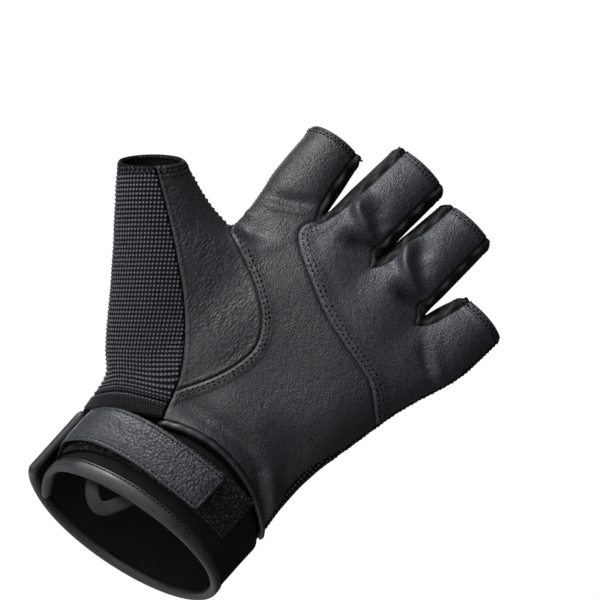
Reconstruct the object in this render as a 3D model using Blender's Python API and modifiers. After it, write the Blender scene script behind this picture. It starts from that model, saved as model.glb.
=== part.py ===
"""A half-finger trekking glove for the left hand, kept in the form that it has when worn.

Metres, +Z from the wrist to the fingertips, the palm faces -Y and the thumb lies towards -X.
The origin is the centre of the wrist opening. The glove's skin is one smooth form that is cut
along its seams into panels, and the cuff is a band that overlaps itself on the thumb side.
"""

import math

import bmesh
import bpy
from mathutils import Vector

# Driving sizes of the hand part
PALM_LENGTH = 0.130        # wrist centre to the crotches between the fingers
ROOT_BREADTH = 0.095       # across the roots of the four fingers
PALM_DEPTH = 0.034         # palm to back of the hand
STALL_LENGTH = 0.036       # crotch level to the hem of the middle finger
FINGER_DEPTH = 0.0195      # palm to back of a finger stall
FINGER_LEAN = math.radians(16)
THUMB_REACH = 0.047        # side of the palm to the thumb's hem, measured along X
THUMB_DEPTH = 0.0235       # palm to back of the thumb stall at its hem
THUMB_LEAN = math.radians(13)

# Driving sizes of the cuff
CUFF_HALF_WIDTH = 0.0376   # outer face of the band, at the wrist edge
CUFF_HALF_DEPTH = 0.0235
CUFF_HEIGHT = 0.029        # wrist edge to the lower edge of the hand part
CUFF_TUCK = 0.0035         # how far the band runs up inside the hand part
CUFF_TAPER = 0.0040        # how much narrower the tucked edge is
TAPER_START = 0.0055       # the band narrows from this far below the hand part's lower edge
TAPER_END = 0.0015
EDGE_RISE_X = 0.12         # rise of the wrist edge towards the little finger
EDGE_RISE_Y = 0.58         # rise of the wrist edge towards the palm
HEM_DROP = 0.003           # the hand part's lower edge is this much lower at the little finger
HEM_FLARE = 0.0015         # clearance of the hand part's lower edge round the band
LOW_SECTION_RISE = 0.0042  # least distance of the lowest palm section above that edge
# The worn course of that edge: how much higher it stands than its even line, as shares of
# CUFF_HEIGHT, at the cage's vertices from the thumb side over the palm and back
HEM_COURSE = (-0.121, -0.224, -0.166, -0.083, 0.159, 0.186, 0.193, 0.159, 0.083, 0.055,
              0.052, 0.024, 0.000, 0.000, 0.000, 0.000, 0.000, 0.000, 0.000, -0.052)

# Walls and gaps
LEATHER_WALL = 0.0016
WEAVE_WALL = 0.0015
BAND_WALL = 0.0020
GAP = 0.0003

# The band's overlap, in degrees round the wrist from the thumb side over the palm
BAND_START = -22
BAND_END = 358
SINK_END = 50              # the inner layer has risen to the band's own line by here
FLAP_START = 312           # the outer layer leaves that line here
INNER_SINK = 0.0055
FLAP_STANDOFF = 0.0020
FLAP_TURN = 12             # the upper edge comes out of the hand part over this many degrees

# Closing tab, tapes, bindings and loop
STRAP_WIDTH = 0.0153
STRAP_WALL = 0.0016
STRAP_CORNER = 0.0022
STRAP_ROOT = -8            # degrees round the wrist
STRAP_TIP = 109
STRAP_LIFT_START = 9
STRAP_LIFT_END = 27
STRAP_TOP = 0.02415        # upper edge above the wrist edge at its root
STRAP_HEIGHT = STRAP_TOP - STRAP_WIDTH / 2
STRAP_RISE = 0.0037        # rise of the centre line to its highest place
STRAP_RISE_START = 10
STRAP_RISE_END = 48
STRAP_FALL = 0.0012        # drop of the centre line towards the tip
STRAP_FALL_START = 55
STRAP_FALL_END = 100
LOOP_TAPE_WALL = 0.0015
LOOP_TAPE_WIDTH = 0.0165
LOOP_TAPE_DROP = 0.0022     # how much lower than the tab the pad lies at its start
LOOP_TAPE_START = 22
LOOP_TAPE_END = 133
HOOK_TAPE_WALL = 0.0010
HOOK_TAPE_MARGIN = 0.0016
HOOK_TAPE_START = 30
BINDING_HEIGHT = 0.0042
BINDING_DEPTH = 0.0034
BINDING_END = BAND_END - 1
ROLL_RADIUS = 0.0011
ROLL_START = 65
ROLL_END = 174
LOOP_WIDTH = 0.0050
LOOP_WALL = 0.0011
LOOP_DROP = 0.0078         # centre line of the loop below the wrist edge
LOOP_LEFT = 60             # degrees round the wrist of the loop's two legs
LOOP_RIGHT = 84
LOOP_TOP = 0.0065

# Cuts are moved onto a seam from this near
SNAP = 0.0009
SUBDIVISION = 1
TURN_PITCH = 8             # degrees between two cross-sections of the cuff

# Regions of the skin, before and after the seams are cut
FRONT, BACK, THUMB_WEAVE, THUMB_LEATHER, FINGER_LEATHER = range(5)
FOURCHETTE = 5

# The cage: columns across the palm, those between two fingers, and the hole for the thumb
COLUMNS = 9
FINGERS = 4
VALLEYS = (2, 4, 6)
THUMB_ROWS = (1, 2, 3, 4, 5)
THUMB_HOLE = (("front", 1), ("front", 0), "left", ("back", 0), ("back", 1))
THENAR_SHARES = (1.0, 1.0, 0.5)   # how much of the thenar swell the first columns take

# Palm sections: shares of PALM_LENGTH (heights), ROOT_BREADTH (sides) and PALM_DEPTH (the rest)
# left_z, right_z, arch, left_x, right_x, middle_y, front, back, thenar
PALM_SECTIONS = (
    (0.300, 0.352, 0.000, -0.430, 0.374, -0.03, 0.62, 0.54, 0.06),
    (0.415, 0.460, 0.000, -0.400, 0.378, -0.03, 0.56, 0.44, 0.15),
    (0.546, 0.562, 0.008, -0.400, 0.408, -0.02, 0.51, 0.43, 0.15),
    (0.677, 0.669, 0.023, -0.421, 0.441, 0.02, 0.47, 0.41, 0.09),
    (0.806, 0.765, 0.038, -0.462, 0.472, 0.06, 0.43, 0.40, 0.00),
    (0.915, 0.870, 0.062, -0.474, 0.534, 0.10, 0.36, 0.36, 0.00),
)
# Where the columns of the top section stand, as shares of its half breadth
ROOT_COLUMNS = (-0.905, -0.758, -0.516, -0.274, -0.019, 0.242, 0.505, 0.747, 0.926)
VALLEY_DEPTH = 0.62        # share of the depth that is left between two fingers
VALLEY_RISE = 0.016        # share of PALM_LENGTH that the valley's front edge rises
CROTCH_RISE = 0.048        # the same for the middle of the web
SECTION_POWER = 2.4        # roundness of the palm's sections
# The lowest sections follow the cuff: how far each goes with it when it is made wider or deeper
# than the one that they were drawn over
CUFF_SHARES = (1.0, 0.6, 0.25, 0.0, 0.0, 0.0)
DRAWN_HALF_WIDTH = 0.0376
DRAWN_HALF_DEPTH = 0.0235

# Finger hems: x as shares of ROOT_BREADTH, z as shares of STALL_LENGTH above PALM_LENGTH,
# depth as a share of FINGER_DEPTH
# left_x, left_z, right_x, right_z, depth
FINGER_HEMS = (
    (-0.4885, 0.583, -0.2653, 0.633, 1.00),
    (-0.2074, 0.972, 0.0442, 0.953, 1.03),
    (0.0642, 0.878, 0.3053, 0.869, 1.00),
    (0.3421, 0.306, 0.5611, 0.250, 0.93),
)
# Where sections stand between root and hem, and how full they are
STALL_SECTIONS = ((0.34, 1.035), (0.70, 1.015), (1.0, 1.0))

# Thumb sections: shares of THUMB_REACH outwards from the palm's side and of PALM_LENGTH upwards
# outer_x, outer_z, inner_x, inner_z, depth (of THUMB_DEPTH), lean (share of the hem's)
THUMB_SECTIONS = (
    (0.130, 0.330, 0.120, 0.812, 1.45, 0.10),
    (0.345, 0.442, 0.290, 0.818, 1.28, 0.30),
    (0.620, 0.572, 0.450, 0.836, 1.12, 0.55),
    (0.840, 0.668, 0.580, 0.853, 1.04, 0.80),
    (1.000, 0.743, 0.640, 0.862, 1.00, 1.00),
)
PALM_SIDE = ROOT_BREADTH * 0.407 / 0.95   # where the thumb leaves the palm, from the middle line
THUMB_SET = 0.1            # share of THUMB_DEPTH that the thumb stands towards the palm

# Seams seen from the palm: x as shares of ROOT_BREADTH, z as shares of PALM_LENGTH
WEAVE_SEAM = ((-0.782, 0.790), (-0.682, 0.742), (-0.536, 0.665), (-0.377, 0.568),
              (-0.237, 0.440), (-0.171, 0.312))
WEAVE_SEAM_ENDS = ((-0.990, 0.890), (-0.155, 0.150))
PATCH_SEAM = ((-0.452, 0.805), (-0.363, 0.779), (-0.242, 0.737), (-0.147, 0.686),
              (-0.097, 0.619), (-0.108, 0.545), (-0.143, 0.477), (-0.196, 0.406))
PATCH_SEAM_ENDS = ((-0.505, 0.892), (-0.253, 0.323))
PALM_SEAM = ((-0.236, 0.985), (-0.266, 0.942), (-0.232, 0.900), (-0.088, 0.842),
             (0.021, 0.806), (0.153, 0.779), (0.255, 0.762), (0.322, 0.741), (0.418, 0.683))
PALM_SEAM_ENDS = ((-0.235, 1.400), (0.640, 0.540))

# Dents and ridges of the worn palm side: x as shares of ROOT_BREADTH, z as shares of PALM_LENGTH,
# reach as a share of ROOT_BREADTH, and depth as a share of PALM_DEPTH, negative for a ridge
# x, z, reach, depth
DENTS = (
    (-0.360, 0.945, 0.075, 0.040),
    (-0.390, 0.860, 0.060, 0.035),
    (-0.060, 1.005, 0.080, 0.045),
    (-0.150, 1.085, 0.050, -0.030),
    (0.225, 1.000, 0.070, 0.040),
    (0.105, 1.060, 0.050, -0.030),
    (0.410, 0.905, 0.065, 0.030),
    (0.050, 0.600, 0.200, 0.060),
    (-0.150, 0.395, 0.090, 0.035),
)


def smoothstep(value, low, high):
    """Rise smoothly from 0 at low to 1 at high."""
    t = min(max((value - low) / (high - low), 0.0), 1.0)
    return t * t * (3 - 2 * t)


def catmull_rom(points, steps=8):
    """Points along the smooth curve through the given 2D or 3D points."""
    padded = [points[0] * 2 - points[1], *points, points[-1] * 2 - points[-2]]
    curve = []
    for a, b, c, d in zip(padded, padded[1:], padded[2:], padded[3:]):
        for step in range(steps):
            t = step / steps
            curve.append(0.5 * (2 * b + (c - a) * t + (2 * a - 5 * b + 4 * c - d) * t * t
                                + (3 * b - 3 * c + d - a) * t ** 3))
    curve.append(points[-1].copy())
    return curve


class Seam:
    """A seam curve drawn on the palm side, with a straight run-out at both ends."""

    def __init__(self, shares, ends):
        def place(share):
            return Vector((share[0] * ROOT_BREADTH, share[1] * PALM_LENGTH))

        line = catmull_rom([place(share) for share in shares])
        self.line = [place(ends[0]), *line, place(ends[1])]

    def measure(self, point):
        """Signed distance from the seam, positive on its left, and the nearest point on it."""
        here = Vector((point.x, point.z))
        best = None
        for a, b in zip(self.line, self.line[1:]):
            along = b - a
            t = min(max((here - a).dot(along) / along.length_squared, 0.0), 1.0)
            foot = a + along * t
            reach = (here - foot).length
            if best is None or reach < best[0]:
                cross = along.x * (here.y - a.y) - along.y * (here.x - a.x)
                best = (reach, math.copysign(reach, cross), foot)
        return best[1], best[2]


def wrist_z(x, y):
    """Height of the tilted plane of the wrist opening."""
    return EDGE_RISE_X * x - EDGE_RISE_Y * y


def wrap_offset(turn):
    """How far the band stands off its own line, where its two ends overlap."""
    sink = -INNER_SINK * (1 - smoothstep(turn, BAND_START, SINK_END))
    return sink + FLAP_STANDOFF * smoothstep(turn, FLAP_START, 360)


def cuff_point(turn, height, offset, wrap_turn=None, tucked=True):
    """A point on the cuff: degrees round the wrist, height above its edge, and stand-off.

    What lies outside the hand part's lower edge isn't tucked, and doesn't narrow under it.
    """
    angle = math.radians(turn)
    below_hem = hem_height(turn) - height
    taper = CUFF_TAPER * (1 - smoothstep(below_hem, TAPER_END, TAPER_START)) if tucked else 0.0
    half_x = CUFF_HALF_WIDTH - taper
    half_y = CUFF_HALF_DEPTH - taper
    x = -half_x * math.cos(angle)
    y = -half_y * math.sin(angle)
    out = Vector((-math.cos(angle) / half_x, -math.sin(angle) / half_y)).normalized()
    away = offset + wrap_offset(turn if wrap_turn is None else wrap_turn)
    return Vector((x + out.x * away, y + out.y * away, wrist_z(x, y) + height))


def hem_course(turn):
    """Rise of the lower edge over its even line, rounded as the smooth form rounds it."""
    place = turn / 360 * len(HEM_COURSE)
    first = math.floor(place)
    t = place - first
    weights = ((1 - t) ** 3, 3 * t ** 3 - 6 * t * t + 4, -3 * t ** 3 + 3 * t * t + 3 * t + 1, t ** 3)
    near = [HEM_COURSE[(first + step) % len(HEM_COURSE)] for step in (-1, 0, 1, 2)]
    return sum(weight * share for weight, share in zip(weights, near)) / 6


def hem_height(turn, course=None):
    """Height of the hand part's lower edge above the wrist edge."""
    share = hem_course(turn) if course is None else course
    return CUFF_HEIGHT * (1 + share) + HEM_DROP * math.cos(math.radians(turn))


def hem_point(turn, course=None):
    """A point on the hand part's lower edge, or on its cage if its course is given."""
    angle = math.radians(turn)
    half_x = CUFF_HALF_WIDTH + HEM_FLARE * 0.5
    half_y = CUFF_HALF_DEPTH
    x = -half_x * math.cos(angle) - HEM_FLARE
    y = -half_y * math.sin(angle)
    return Vector((x, y, wrist_z(x, y) + hem_height(turn, course)))


def palm_section(index):
    """The places of one palm section's vertices, by name: two sides and two rows of columns."""
    (left_z, right_z, arch, left_x, right_x, middle_y, front, back, thenar) = PALM_SECTIONS[index]
    blend = index / (len(PALM_SECTIONS) - 1)
    wider = 1 + CUFF_SHARES[index] * (CUFF_HALF_WIDTH / DRAWN_HALF_WIDTH - 1)
    deeper = 1 + CUFF_SHARES[index] * (CUFF_HALF_DEPTH / DRAWN_HALF_DEPTH - 1)
    centre = (left_x + right_x) / 2 * ROOT_BREADTH
    half = (right_x - left_x) / 2 * ROOT_BREADTH * wider
    depth = PALM_DEPTH * deeper
    y = middle_y * PALM_DEPTH

    def height(u):
        level = left_z + (right_z - left_z) * (u + 1) / 2 + arch * (1 - u * u)
        return level * PALM_LENGTH

    places = {"left": Vector((centre - half, y, height(-1))),
              "right": Vector((centre + half, y, height(1)))}
    for column in range(COLUMNS):
        even = -math.cos(math.pi * (column + 1) / (COLUMNS + 1))
        u = even * (1 - blend) + ROOT_COLUMNS[column] * blend
        full = (1 - abs(u) ** SECTION_POWER) ** (1 / SECTION_POWER)
        rise = 0.0
        if blend == 1 and column in VALLEYS:
            full *= VALLEY_DEPTH
            rise = VALLEY_RISE * PALM_LENGTH
        swell = thenar * THENAR_SHARES[column] if column < len(THENAR_SHARES) else 0.0
        x = centre + half * u
        z = height(u) + rise
        places["front", column] = Vector((x, y - (front * full + swell) * depth, z))
        places["back", column] = Vector((x, y + back * full * depth, z))
    return places


def around_palm():
    """The names of a palm section's vertices, from the thumb side over the palm and back."""
    front = [("front", column) for column in range(COLUMNS)]
    back = [("back", column) for column in reversed(range(COLUMNS))]
    return ["left", *front, "right", *back]


def add_face(cage, corners, region):
    """Add one face of the cage and mark its region."""
    cage.faces.new(corners).material_index = region


def add_palm(cage):
    """The palm's sections from the lower edge up, open at the thumb. Returns their vertices."""
    names = around_palm()
    rows = [{name: cage.verts.new(hem_point(360 * index / len(names), HEM_COURSE[index]))
             for index, name in enumerate(names)}]
    for index in range(len(PALM_SECTIONS)):
        hollow = THUMB_HOLE[1:-1] if THUMB_ROWS[0] < index + 1 < THUMB_ROWS[-1] else ()
        places = palm_section(index)
        if index == 0:
            for name, place in places.items():
                place.z = max(place.z, rows[0][name].co.z + LOW_SECTION_RISE)
        rows.append({name: cage.verts.new(place) for name, place in places.items()
                     if name not in hollow})
    for level, (lower, upper) in enumerate(zip(rows, rows[1:])):
        for a, b in zip(names, names[1:] + names[:1]):
            if level in THUMB_ROWS[:-1] and a in THUMB_HOLE and b in THUMB_HOLE:
                continue
            region = BACK if "back" in (a[0], b[0]) else FRONT
            add_face(cage, [lower[a], lower[b], upper[b], upper[a]], region)
    return rows


def rim_of_thumb(rows):
    """The vertices round the hole for the thumb, from the crotch over the palm side."""
    high, low = rows[THUMB_ROWS[-1]], rows[THUMB_ROWS[0]]
    between = [rows[level] for level in THUMB_ROWS[1:-1]]
    rim = [high["left"], high["front", 0], high["front", 1]]
    rim += [row["front", 1] for row in reversed(between)]
    rim += [low["front", 1], low["front", 0], low["left"], low["back", 0], low["back", 1]]
    rim += [row["back", 1] for row in between]
    rim += [high["back", 1], high["back", 0]]
    return rim


def ring_points(centre, across, side, count):
    """Cage points whose smooth curve is the oval with the two given half axes."""
    shrink = (4 + 2 * math.cos(math.tau / count)) / 6
    points = []
    for step in range(count):
        angle = math.tau * step / count
        points.append(centre + (across * math.cos(angle) + side * math.sin(angle)) / shrink)
    return points


def add_thumb(cage, ring):
    """The thumb, from its hole in the palm's side to its hem."""
    count = len(ring)
    for outer_x, outer_z, inner_x, inner_z, depth, lean in THUMB_SECTIONS:
        outer = Vector((-PALM_SIDE - outer_x * THUMB_REACH, 0, outer_z * PALM_LENGTH))
        inner = Vector((-PALM_SIDE - inner_x * THUMB_REACH, 0, inner_z * PALM_LENGTH))
        middle_y = -THUMB_REACH * outer_x * math.tan(THUMB_LEAN) - THUMB_SET * THUMB_DEPTH
        centre = (outer + inner) / 2 + Vector((0, middle_y, 0))
        across = (inner - outer) / 2
        axis = Vector((0, 1, 0)).cross(across).normalized()
        tilt = THUMB_LEAN * lean
        front = Vector((0, -math.cos(tilt), 0)) + axis * math.sin(tilt)
        points = ring_points(centre, across, front * depth * THUMB_DEPTH / 2, count)
        section = [cage.verts.new(point) for point in points]
        for step in range(count):
            after = (step + 1) % count
            region = FRONT if step < count // 2 else THUMB_WEAVE
            add_face(cage, [ring[step], section[step], section[after], ring[after]], region)
        ring = section


def stall_region(finger, step):
    """The region of one of the eight sides of a finger stall."""
    if step in (0, 7) and finger > 0:
        return FOURCHETTE + finger - 1
    if step in (3, 4) and finger < FINGERS - 1:
        return FOURCHETTE + finger
    return FRONT if step < 4 else BACK


def add_stall(cage, finger, root):
    """One finger stall, from its eight vertices in the top section to its hem."""
    left_x, left_z, right_x, right_z, depth = FINGER_HEMS[finger]
    hem_left = Vector((left_x * ROOT_BREADTH, 0, PALM_LENGTH + left_z * STALL_LENGTH))
    hem_right = Vector((right_x * ROOT_BREADTH, 0, PALM_LENGTH + right_z * STALL_LENGTH))
    root_left, root_right = root[0].co.copy(), root[4].co.copy()
    for corner in (root_left, root_right):
        corner.z = min(corner.z, PALM_LENGTH)
    ring = root
    for share, fullness in STALL_SECTIONS:
        low_edge = root_left.lerp(hem_left, share)
        high_edge = root_right.lerp(hem_right, share)
        centre = (low_edge + high_edge) / 2
        rise = centre.z - (root_left.z + root_right.z) / 2
        centre.y = root_left.y + rise * math.tan(FINGER_LEAN)
        across = (low_edge - high_edge) / 2 * fullness
        across.y = 0
        axis = Vector((0, 1, 0)).cross(across).normalized()
        front = Vector((0, -math.cos(FINGER_LEAN), 0)) + axis * math.sin(FINGER_LEAN)
        half_depth = FINGER_DEPTH * depth / 2 * fullness
        points = ring_points(centre, across, front * half_depth, len(ring))
        section = [cage.verts.new(point) for point in points]
        for step in range(len(ring)):
            after = (step + 1) % len(ring)
            add_face(cage, [ring[step], ring[after], section[after], section[step]],
                     stall_region(finger, step))
        ring = section


def make_cage():
    """The coarse cage of the whole skin, with each face marked by its region."""
    cage = bmesh.new()
    rows = add_palm(cage)
    add_thumb(cage, rim_of_thumb(rows))
    top = rows[-1]
    webs = {}
    for column in VALLEYS:
        place = (top["front", column].co + top["back", column].co) / 2
        place.z += (CROTCH_RISE - VALLEY_RISE) * PALM_LENGTH
        webs[column] = cage.verts.new(place)
    for finger in range(FINGERS):
        first = 2 * finger
        left = webs.get(first, top["left"])
        right = webs.get(first + 2, top["right"])
        root = [left, top["front", first], top["front", first + 1], top["front", first + 2],
                right, top["back", first + 2], top["back", first + 1], top["back", first]]
        add_stall(cage, finger, root)
    bmesh.ops.recalc_face_normals(cage, faces=cage.faces[:])
    cage.normal_update()
    if min(cage.verts, key=lambda vert: vert.co.y).normal.y > 0:
        bmesh.ops.reverse_faces(cage, faces=cage.faces[:])
    return cage


def make_skin(guides):
    """The smooth outer form: the cage under a Subdivision Surface, read as a mesh."""
    cage = make_cage()
    mesh = bpy.data.meshes.new("skin_cage")
    cage.to_mesh(mesh)
    cage.free()
    guide = bpy.data.objects.new("skin_cage", mesh)
    for region in range(FOURCHETTE + FINGERS - 1):
        mesh.materials.append(None)
    guides.objects.link(guide)
    guide.display_type = "WIRE"
    guide.hide_render = True
    smooth = guide.modifiers.new("round", "SUBSURF")
    smooth.levels = SUBDIVISION
    smooth.render_levels = SUBDIVISION
    bpy.context.view_layer.update()
    shown = guide.evaluated_get(bpy.context.evaluated_depsgraph_get())
    skin = bmesh.new()
    skin.from_mesh(bpy.data.meshes.new_from_object(shown))
    return skin


def dent_skin(skin):
    """Press the dents and raise the ridges of the palm side."""
    for vert in skin.verts:
        facing = max(-vert.normal.y, 0.0)
        for x, z, reach, depth in DENTS:
            away = Vector((vert.co.x - x * ROOT_BREADTH, vert.co.z - z * PALM_LENGTH)).length
            press = math.exp(-(away / (reach * ROOT_BREADTH)) ** 2)
            vert.co.y += facing * press * depth * PALM_DEPTH
    skin.normal_update()


def cut_region(skin, seam, region, left_region, right_region):
    """Cut one region of the skin along a seam, and mark what lies on each side of it."""
    faces = [face for face in skin.faces if face.material_index == region]
    side = {}
    for vert in {vert for face in faces for vert in face.verts}:
        distance, foot = seam.measure(vert.co)
        if abs(distance) < SNAP:
            vert.co.x, vert.co.z = foot
            distance = 0.0
        side[vert] = distance
    for edge in {edge for face in faces for edge in face.edges}:
        a, b = edge.verts
        if side[a] * side[b] < 0:
            share = side[a] / (side[a] - side[b])
            side[bmesh.utils.edge_split(edge, a, share)[1]] = 0.0
    for face in faces:
        on = [vert for vert in face.verts if side[vert] == 0]
        both = min(side[v] for v in face.verts) < 0 < max(side[v] for v in face.verts)
        if both and len(on) > 1:
            bmesh.utils.face_split(face, on[0], on[-1])
    for face in skin.faces:
        if face.material_index == region:
            total = sum(side[vert] for vert in face.verts)
            face.material_index = left_region if total > 0 else right_region


def seam_shift(vert, region):
    """How a panel's edge is drawn back from the seam, so that two panels keep their gap."""
    inward = []
    for edge in vert.link_edges:
        mine = [face for face in edge.link_faces if face.material_index == region]
        if len(mine) == 1 and len(edge.link_faces) == 2:
            loop = next(l for l in mine[0].loops if l.edge == edge)
            along = (loop.link_loop_next.vert.co - loop.vert.co).normalized()
            inward.append(mine[0].normal.cross(along).normalized())
    if not inward:
        return Vector()
    if len(inward) == 1:
        return inward[0] * GAP / 2
    total = inward[0] + inward[1]
    return total * (GAP / 2) / max(1 + inward[0].dot(inward[1]), 0.15)


def make_panel(skin, region, wall):
    """A closed wall under one region of the skin.

    A Solidify modifier on the panel alone would turn its edges by their own slope into the
    neighbour, so the wall is drawn along the whole skin's normals.
    """
    panel = bmesh.new()
    outer, inner = {}, {}
    faces = [face for face in skin.faces if face.material_index == region]
    for vert in {vert for face in faces for vert in face.verts}:
        spot = vert.co + seam_shift(vert, region)
        outer[vert] = panel.verts.new(spot)
        inner[vert] = panel.verts.new(spot - vert.normal * wall)
    for face in faces:
        panel.faces.new([outer[vert] for vert in face.verts])
        panel.faces.new([inner[vert] for vert in reversed(face.verts)])
        for loop in face.loops:
            mine = [other for other in loop.edge.link_faces if other.material_index == region]
            if len(mine) == 1:
                a, b = loop.vert, loop.link_loop_next.vert
                first, second = (a, b) if a.index < b.index else (b, a)
                rim = ([outer[b], outer[a], inner[second]], [inner[a], inner[b], outer[first]])
                for corners in rim:
                    panel.faces.new(corners)
    return panel


def loft(sections, closed=False):
    """A solid through sections of equal count, with flat ends or joined into a ring."""
    solid = bmesh.new()
    rings = [[solid.verts.new(spot) for spot in section] for section in sections]
    pairs = list(zip(rings, rings[1:]))
    if closed:
        pairs.append((rings[-1], rings[0]))
    for lower, upper in pairs:
        for step in range(len(lower)):
            after = (step + 1) % len(lower)
            solid.faces.new([lower[step], lower[after], upper[after], upper[step]])
    if not closed:
        solid.faces.new(list(reversed(rings[0])))
        solid.faces.new(rings[-1])
    bmesh.ops.recalc_face_normals(solid, faces=solid.faces[:])
    return solid


def turns_between(start, end):
    """Angles from start to end on one shared pitch, so that walls that lie on each other agree."""
    first = math.ceil(start / TURN_PITCH + 0.3)
    last = math.floor(end / TURN_PITCH - 0.3)
    return [start, *[index * TURN_PITCH for index in range(first, last + 1)], end]


def sheet_on_cuff(turns, rows, lift, wall, tucked=False):
    """A wall that lies on the band: its rows' heights and its lift are functions of the angle."""
    sections = []
    for turn in turns:
        heights = rows(turn)
        layers = ((lift(turn), heights), (lift(turn) + wall, heights[::-1]))
        sections.append([cuff_point(turn, height, away, tucked=tucked)
                         for away, order in layers for height in order])
    return loft(sections)


def tube(frames, half_height, half_depth, sides=8):
    """An oval tube along frames of centre, height direction and depth direction."""
    sections = []
    for centre, up, out in frames:
        section = []
        for step in range(sides):
            angle = math.tau * (step + 0.5) / sides
            section.append(centre + up * half_height * math.sin(angle)
                           + out * half_depth * math.cos(angle))
        sections.append(section)
    return loft(sections)


def band_top(turn):
    """Upper edge of the band: tucked into the hand part, except on the flap."""
    free = hem_height(turn) - 2 * GAP - ROLL_RADIUS
    tucked = hem_height(turn) + CUFF_TUCK
    return tucked + (free - tucked) * smoothstep(turn, FLAP_START, FLAP_START + FLAP_TURN)


def band_rows(turn):
    """Heights of the band's rows, closer together where it narrows."""
    low, high = BINDING_HEIGHT + GAP, band_top(turn)
    bend = hem_height(turn) - TAPER_START
    return [low, (low + bend) / 2, bend, (bend + high) / 2, high]


def make_band():
    """The cuff's band, one long wall whose ends overlap on the thumb side."""
    turns = turns_between(BAND_START, BAND_END)
    return sheet_on_cuff(turns, band_rows, lambda turn: -BAND_WALL, BAND_WALL, tucked=True)


def band_side(turn, height, offset):
    """The outward direction of the band at a point, below its tuck."""
    here = cuff_point(turn, height, offset, tucked=False)
    return (cuff_point(turn, height, offset + 0.001, tucked=False) - here).normalized()


def make_cuff_binding():
    """The rounded binding along the wrist edge, under the band's lower edge."""
    frames = []
    for turn in turns_between(BAND_START, BINDING_END):
        middle = -BAND_WALL / 2
        centre = cuff_point(turn, BINDING_HEIGHT / 2, middle)
        frames.append((centre, Vector((0, 0, 1)), band_side(turn, BINDING_HEIGHT / 2, middle)))
    return tube(frames, BINDING_HEIGHT / 2, BINDING_DEPTH / 2)


def make_side_binding():
    """The bound edge of the flap, from the corner of the wrist edge up."""
    middle = -BAND_WALL / 2
    top = band_top(BAND_END)
    frames = []
    steps = 6
    edge = BAND_END + math.degrees((BINDING_HEIGHT / 2 + GAP) / CUFF_HALF_DEPTH)
    for step in range(steps + 1):
        height = top * step / steps
        centre = cuff_point(edge, height, middle, BAND_END, tucked=False)
        out = band_side(edge, height, middle)
        frames.append((centre, Vector((0, 0, 1)).cross(out).normalized(), out))
    return tube(frames, BINDING_HEIGHT / 2, BINDING_DEPTH / 2)


def make_palm_roll():
    """The piped lower edge of the palm leather, just under it."""
    frames = []
    for turn in turns_between(ROLL_START, ROLL_END):
        centre = hem_point(turn) - Vector((0, 0, ROLL_RADIUS + 2 * GAP))
        out = Vector((centre.x, centre.y * 2, 0)).normalized()
        frames.append((centre, Vector((0, 0, 1)), out))
    return tube(frames, ROLL_RADIUS, ROLL_RADIUS)


def strap_middle(turn):
    """Height of the closing tab's centre line above the wrist edge."""
    rise = STRAP_RISE * smoothstep(turn, STRAP_RISE_START, STRAP_RISE_END)
    return STRAP_HEIGHT + rise - STRAP_FALL * smoothstep(turn, STRAP_FALL_START, STRAP_FALL_END)


def strap_lift(turn):
    """Stand-off of the closing tab's inner face, close to the band at its root."""
    stack = LOOP_TAPE_WALL + HOOK_TAPE_WALL + 3 * GAP
    return GAP + (stack - GAP) * smoothstep(turn, STRAP_LIFT_START, STRAP_LIFT_END)


def arc_length_per_degree(turn):
    """Metres along the tab for one degree round the wrist."""
    before = cuff_point(turn - 0.5, STRAP_HEIGHT, strap_lift(turn))
    after = cuff_point(turn + 0.5, STRAP_HEIGHT, strap_lift(turn))
    return (after - before).length


def rows_about(middle, half):
    """Three rows of a strip of the given half width."""
    return [middle - half, middle, middle + half]


def rounded_rows(tip, corner, width):
    """Rows of a tab of the given width whose tip has rounded corners."""
    pitch = arc_length_per_degree(tip)

    def rows(turn):
        from_tip = (tip - turn) * pitch
        cut = 0.0
        if from_tip < corner:
            cut = corner - math.sqrt(max(corner ** 2 - (corner - from_tip) ** 2, 0.0))
        return rows_about(strap_middle(turn), width / 2 - cut)

    return rows


def tip_turns(start, tip, corner):
    """Angles for a tab, closer together where its corners turn."""
    reach = corner / arc_length_per_degree(tip)
    turns = turns_between(start, tip - reach)
    return turns + [tip - reach * share for share in (0.6, 0.3, 0.1, 0.0)]


def make_strap():
    """The leather closing tab, from inside the flap over the palm side of the cuff."""
    rows = rounded_rows(STRAP_TIP, STRAP_CORNER, STRAP_WIDTH)
    turns = tip_turns(STRAP_ROOT, STRAP_TIP, STRAP_CORNER)
    return sheet_on_cuff(turns, rows, strap_lift, STRAP_WALL)


def make_hook_tape():
    """The hook patch under the closing tab."""
    width = STRAP_WIDTH - 2 * HOOK_TAPE_MARGIN
    tip = STRAP_TIP - HOOK_TAPE_MARGIN / arc_length_per_degree(STRAP_TIP)
    lift = LOOP_TAPE_WALL + 2 * GAP
    return sheet_on_cuff(turns_between(HOOK_TAPE_START, tip),
                         lambda turn: rows_about(strap_middle(turn), width / 2),
                         lambda turn: lift, HOOK_TAPE_WALL)


def make_loop_tape():
    """The fuzzy pad on the band that the tab closes on."""
    def rows(turn):
        drop = LOOP_TAPE_DROP * (1 - smoothstep(turn, LOOP_TAPE_START, STRAP_TIP))
        return rows_about(strap_middle(min(turn, STRAP_TIP)) - drop, LOOP_TAPE_WIDTH / 2)

    return sheet_on_cuff(turns_between(LOOP_TAPE_START, LOOP_TAPE_END), rows,
                         lambda turn: GAP, LOOP_TAPE_WALL)


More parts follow.
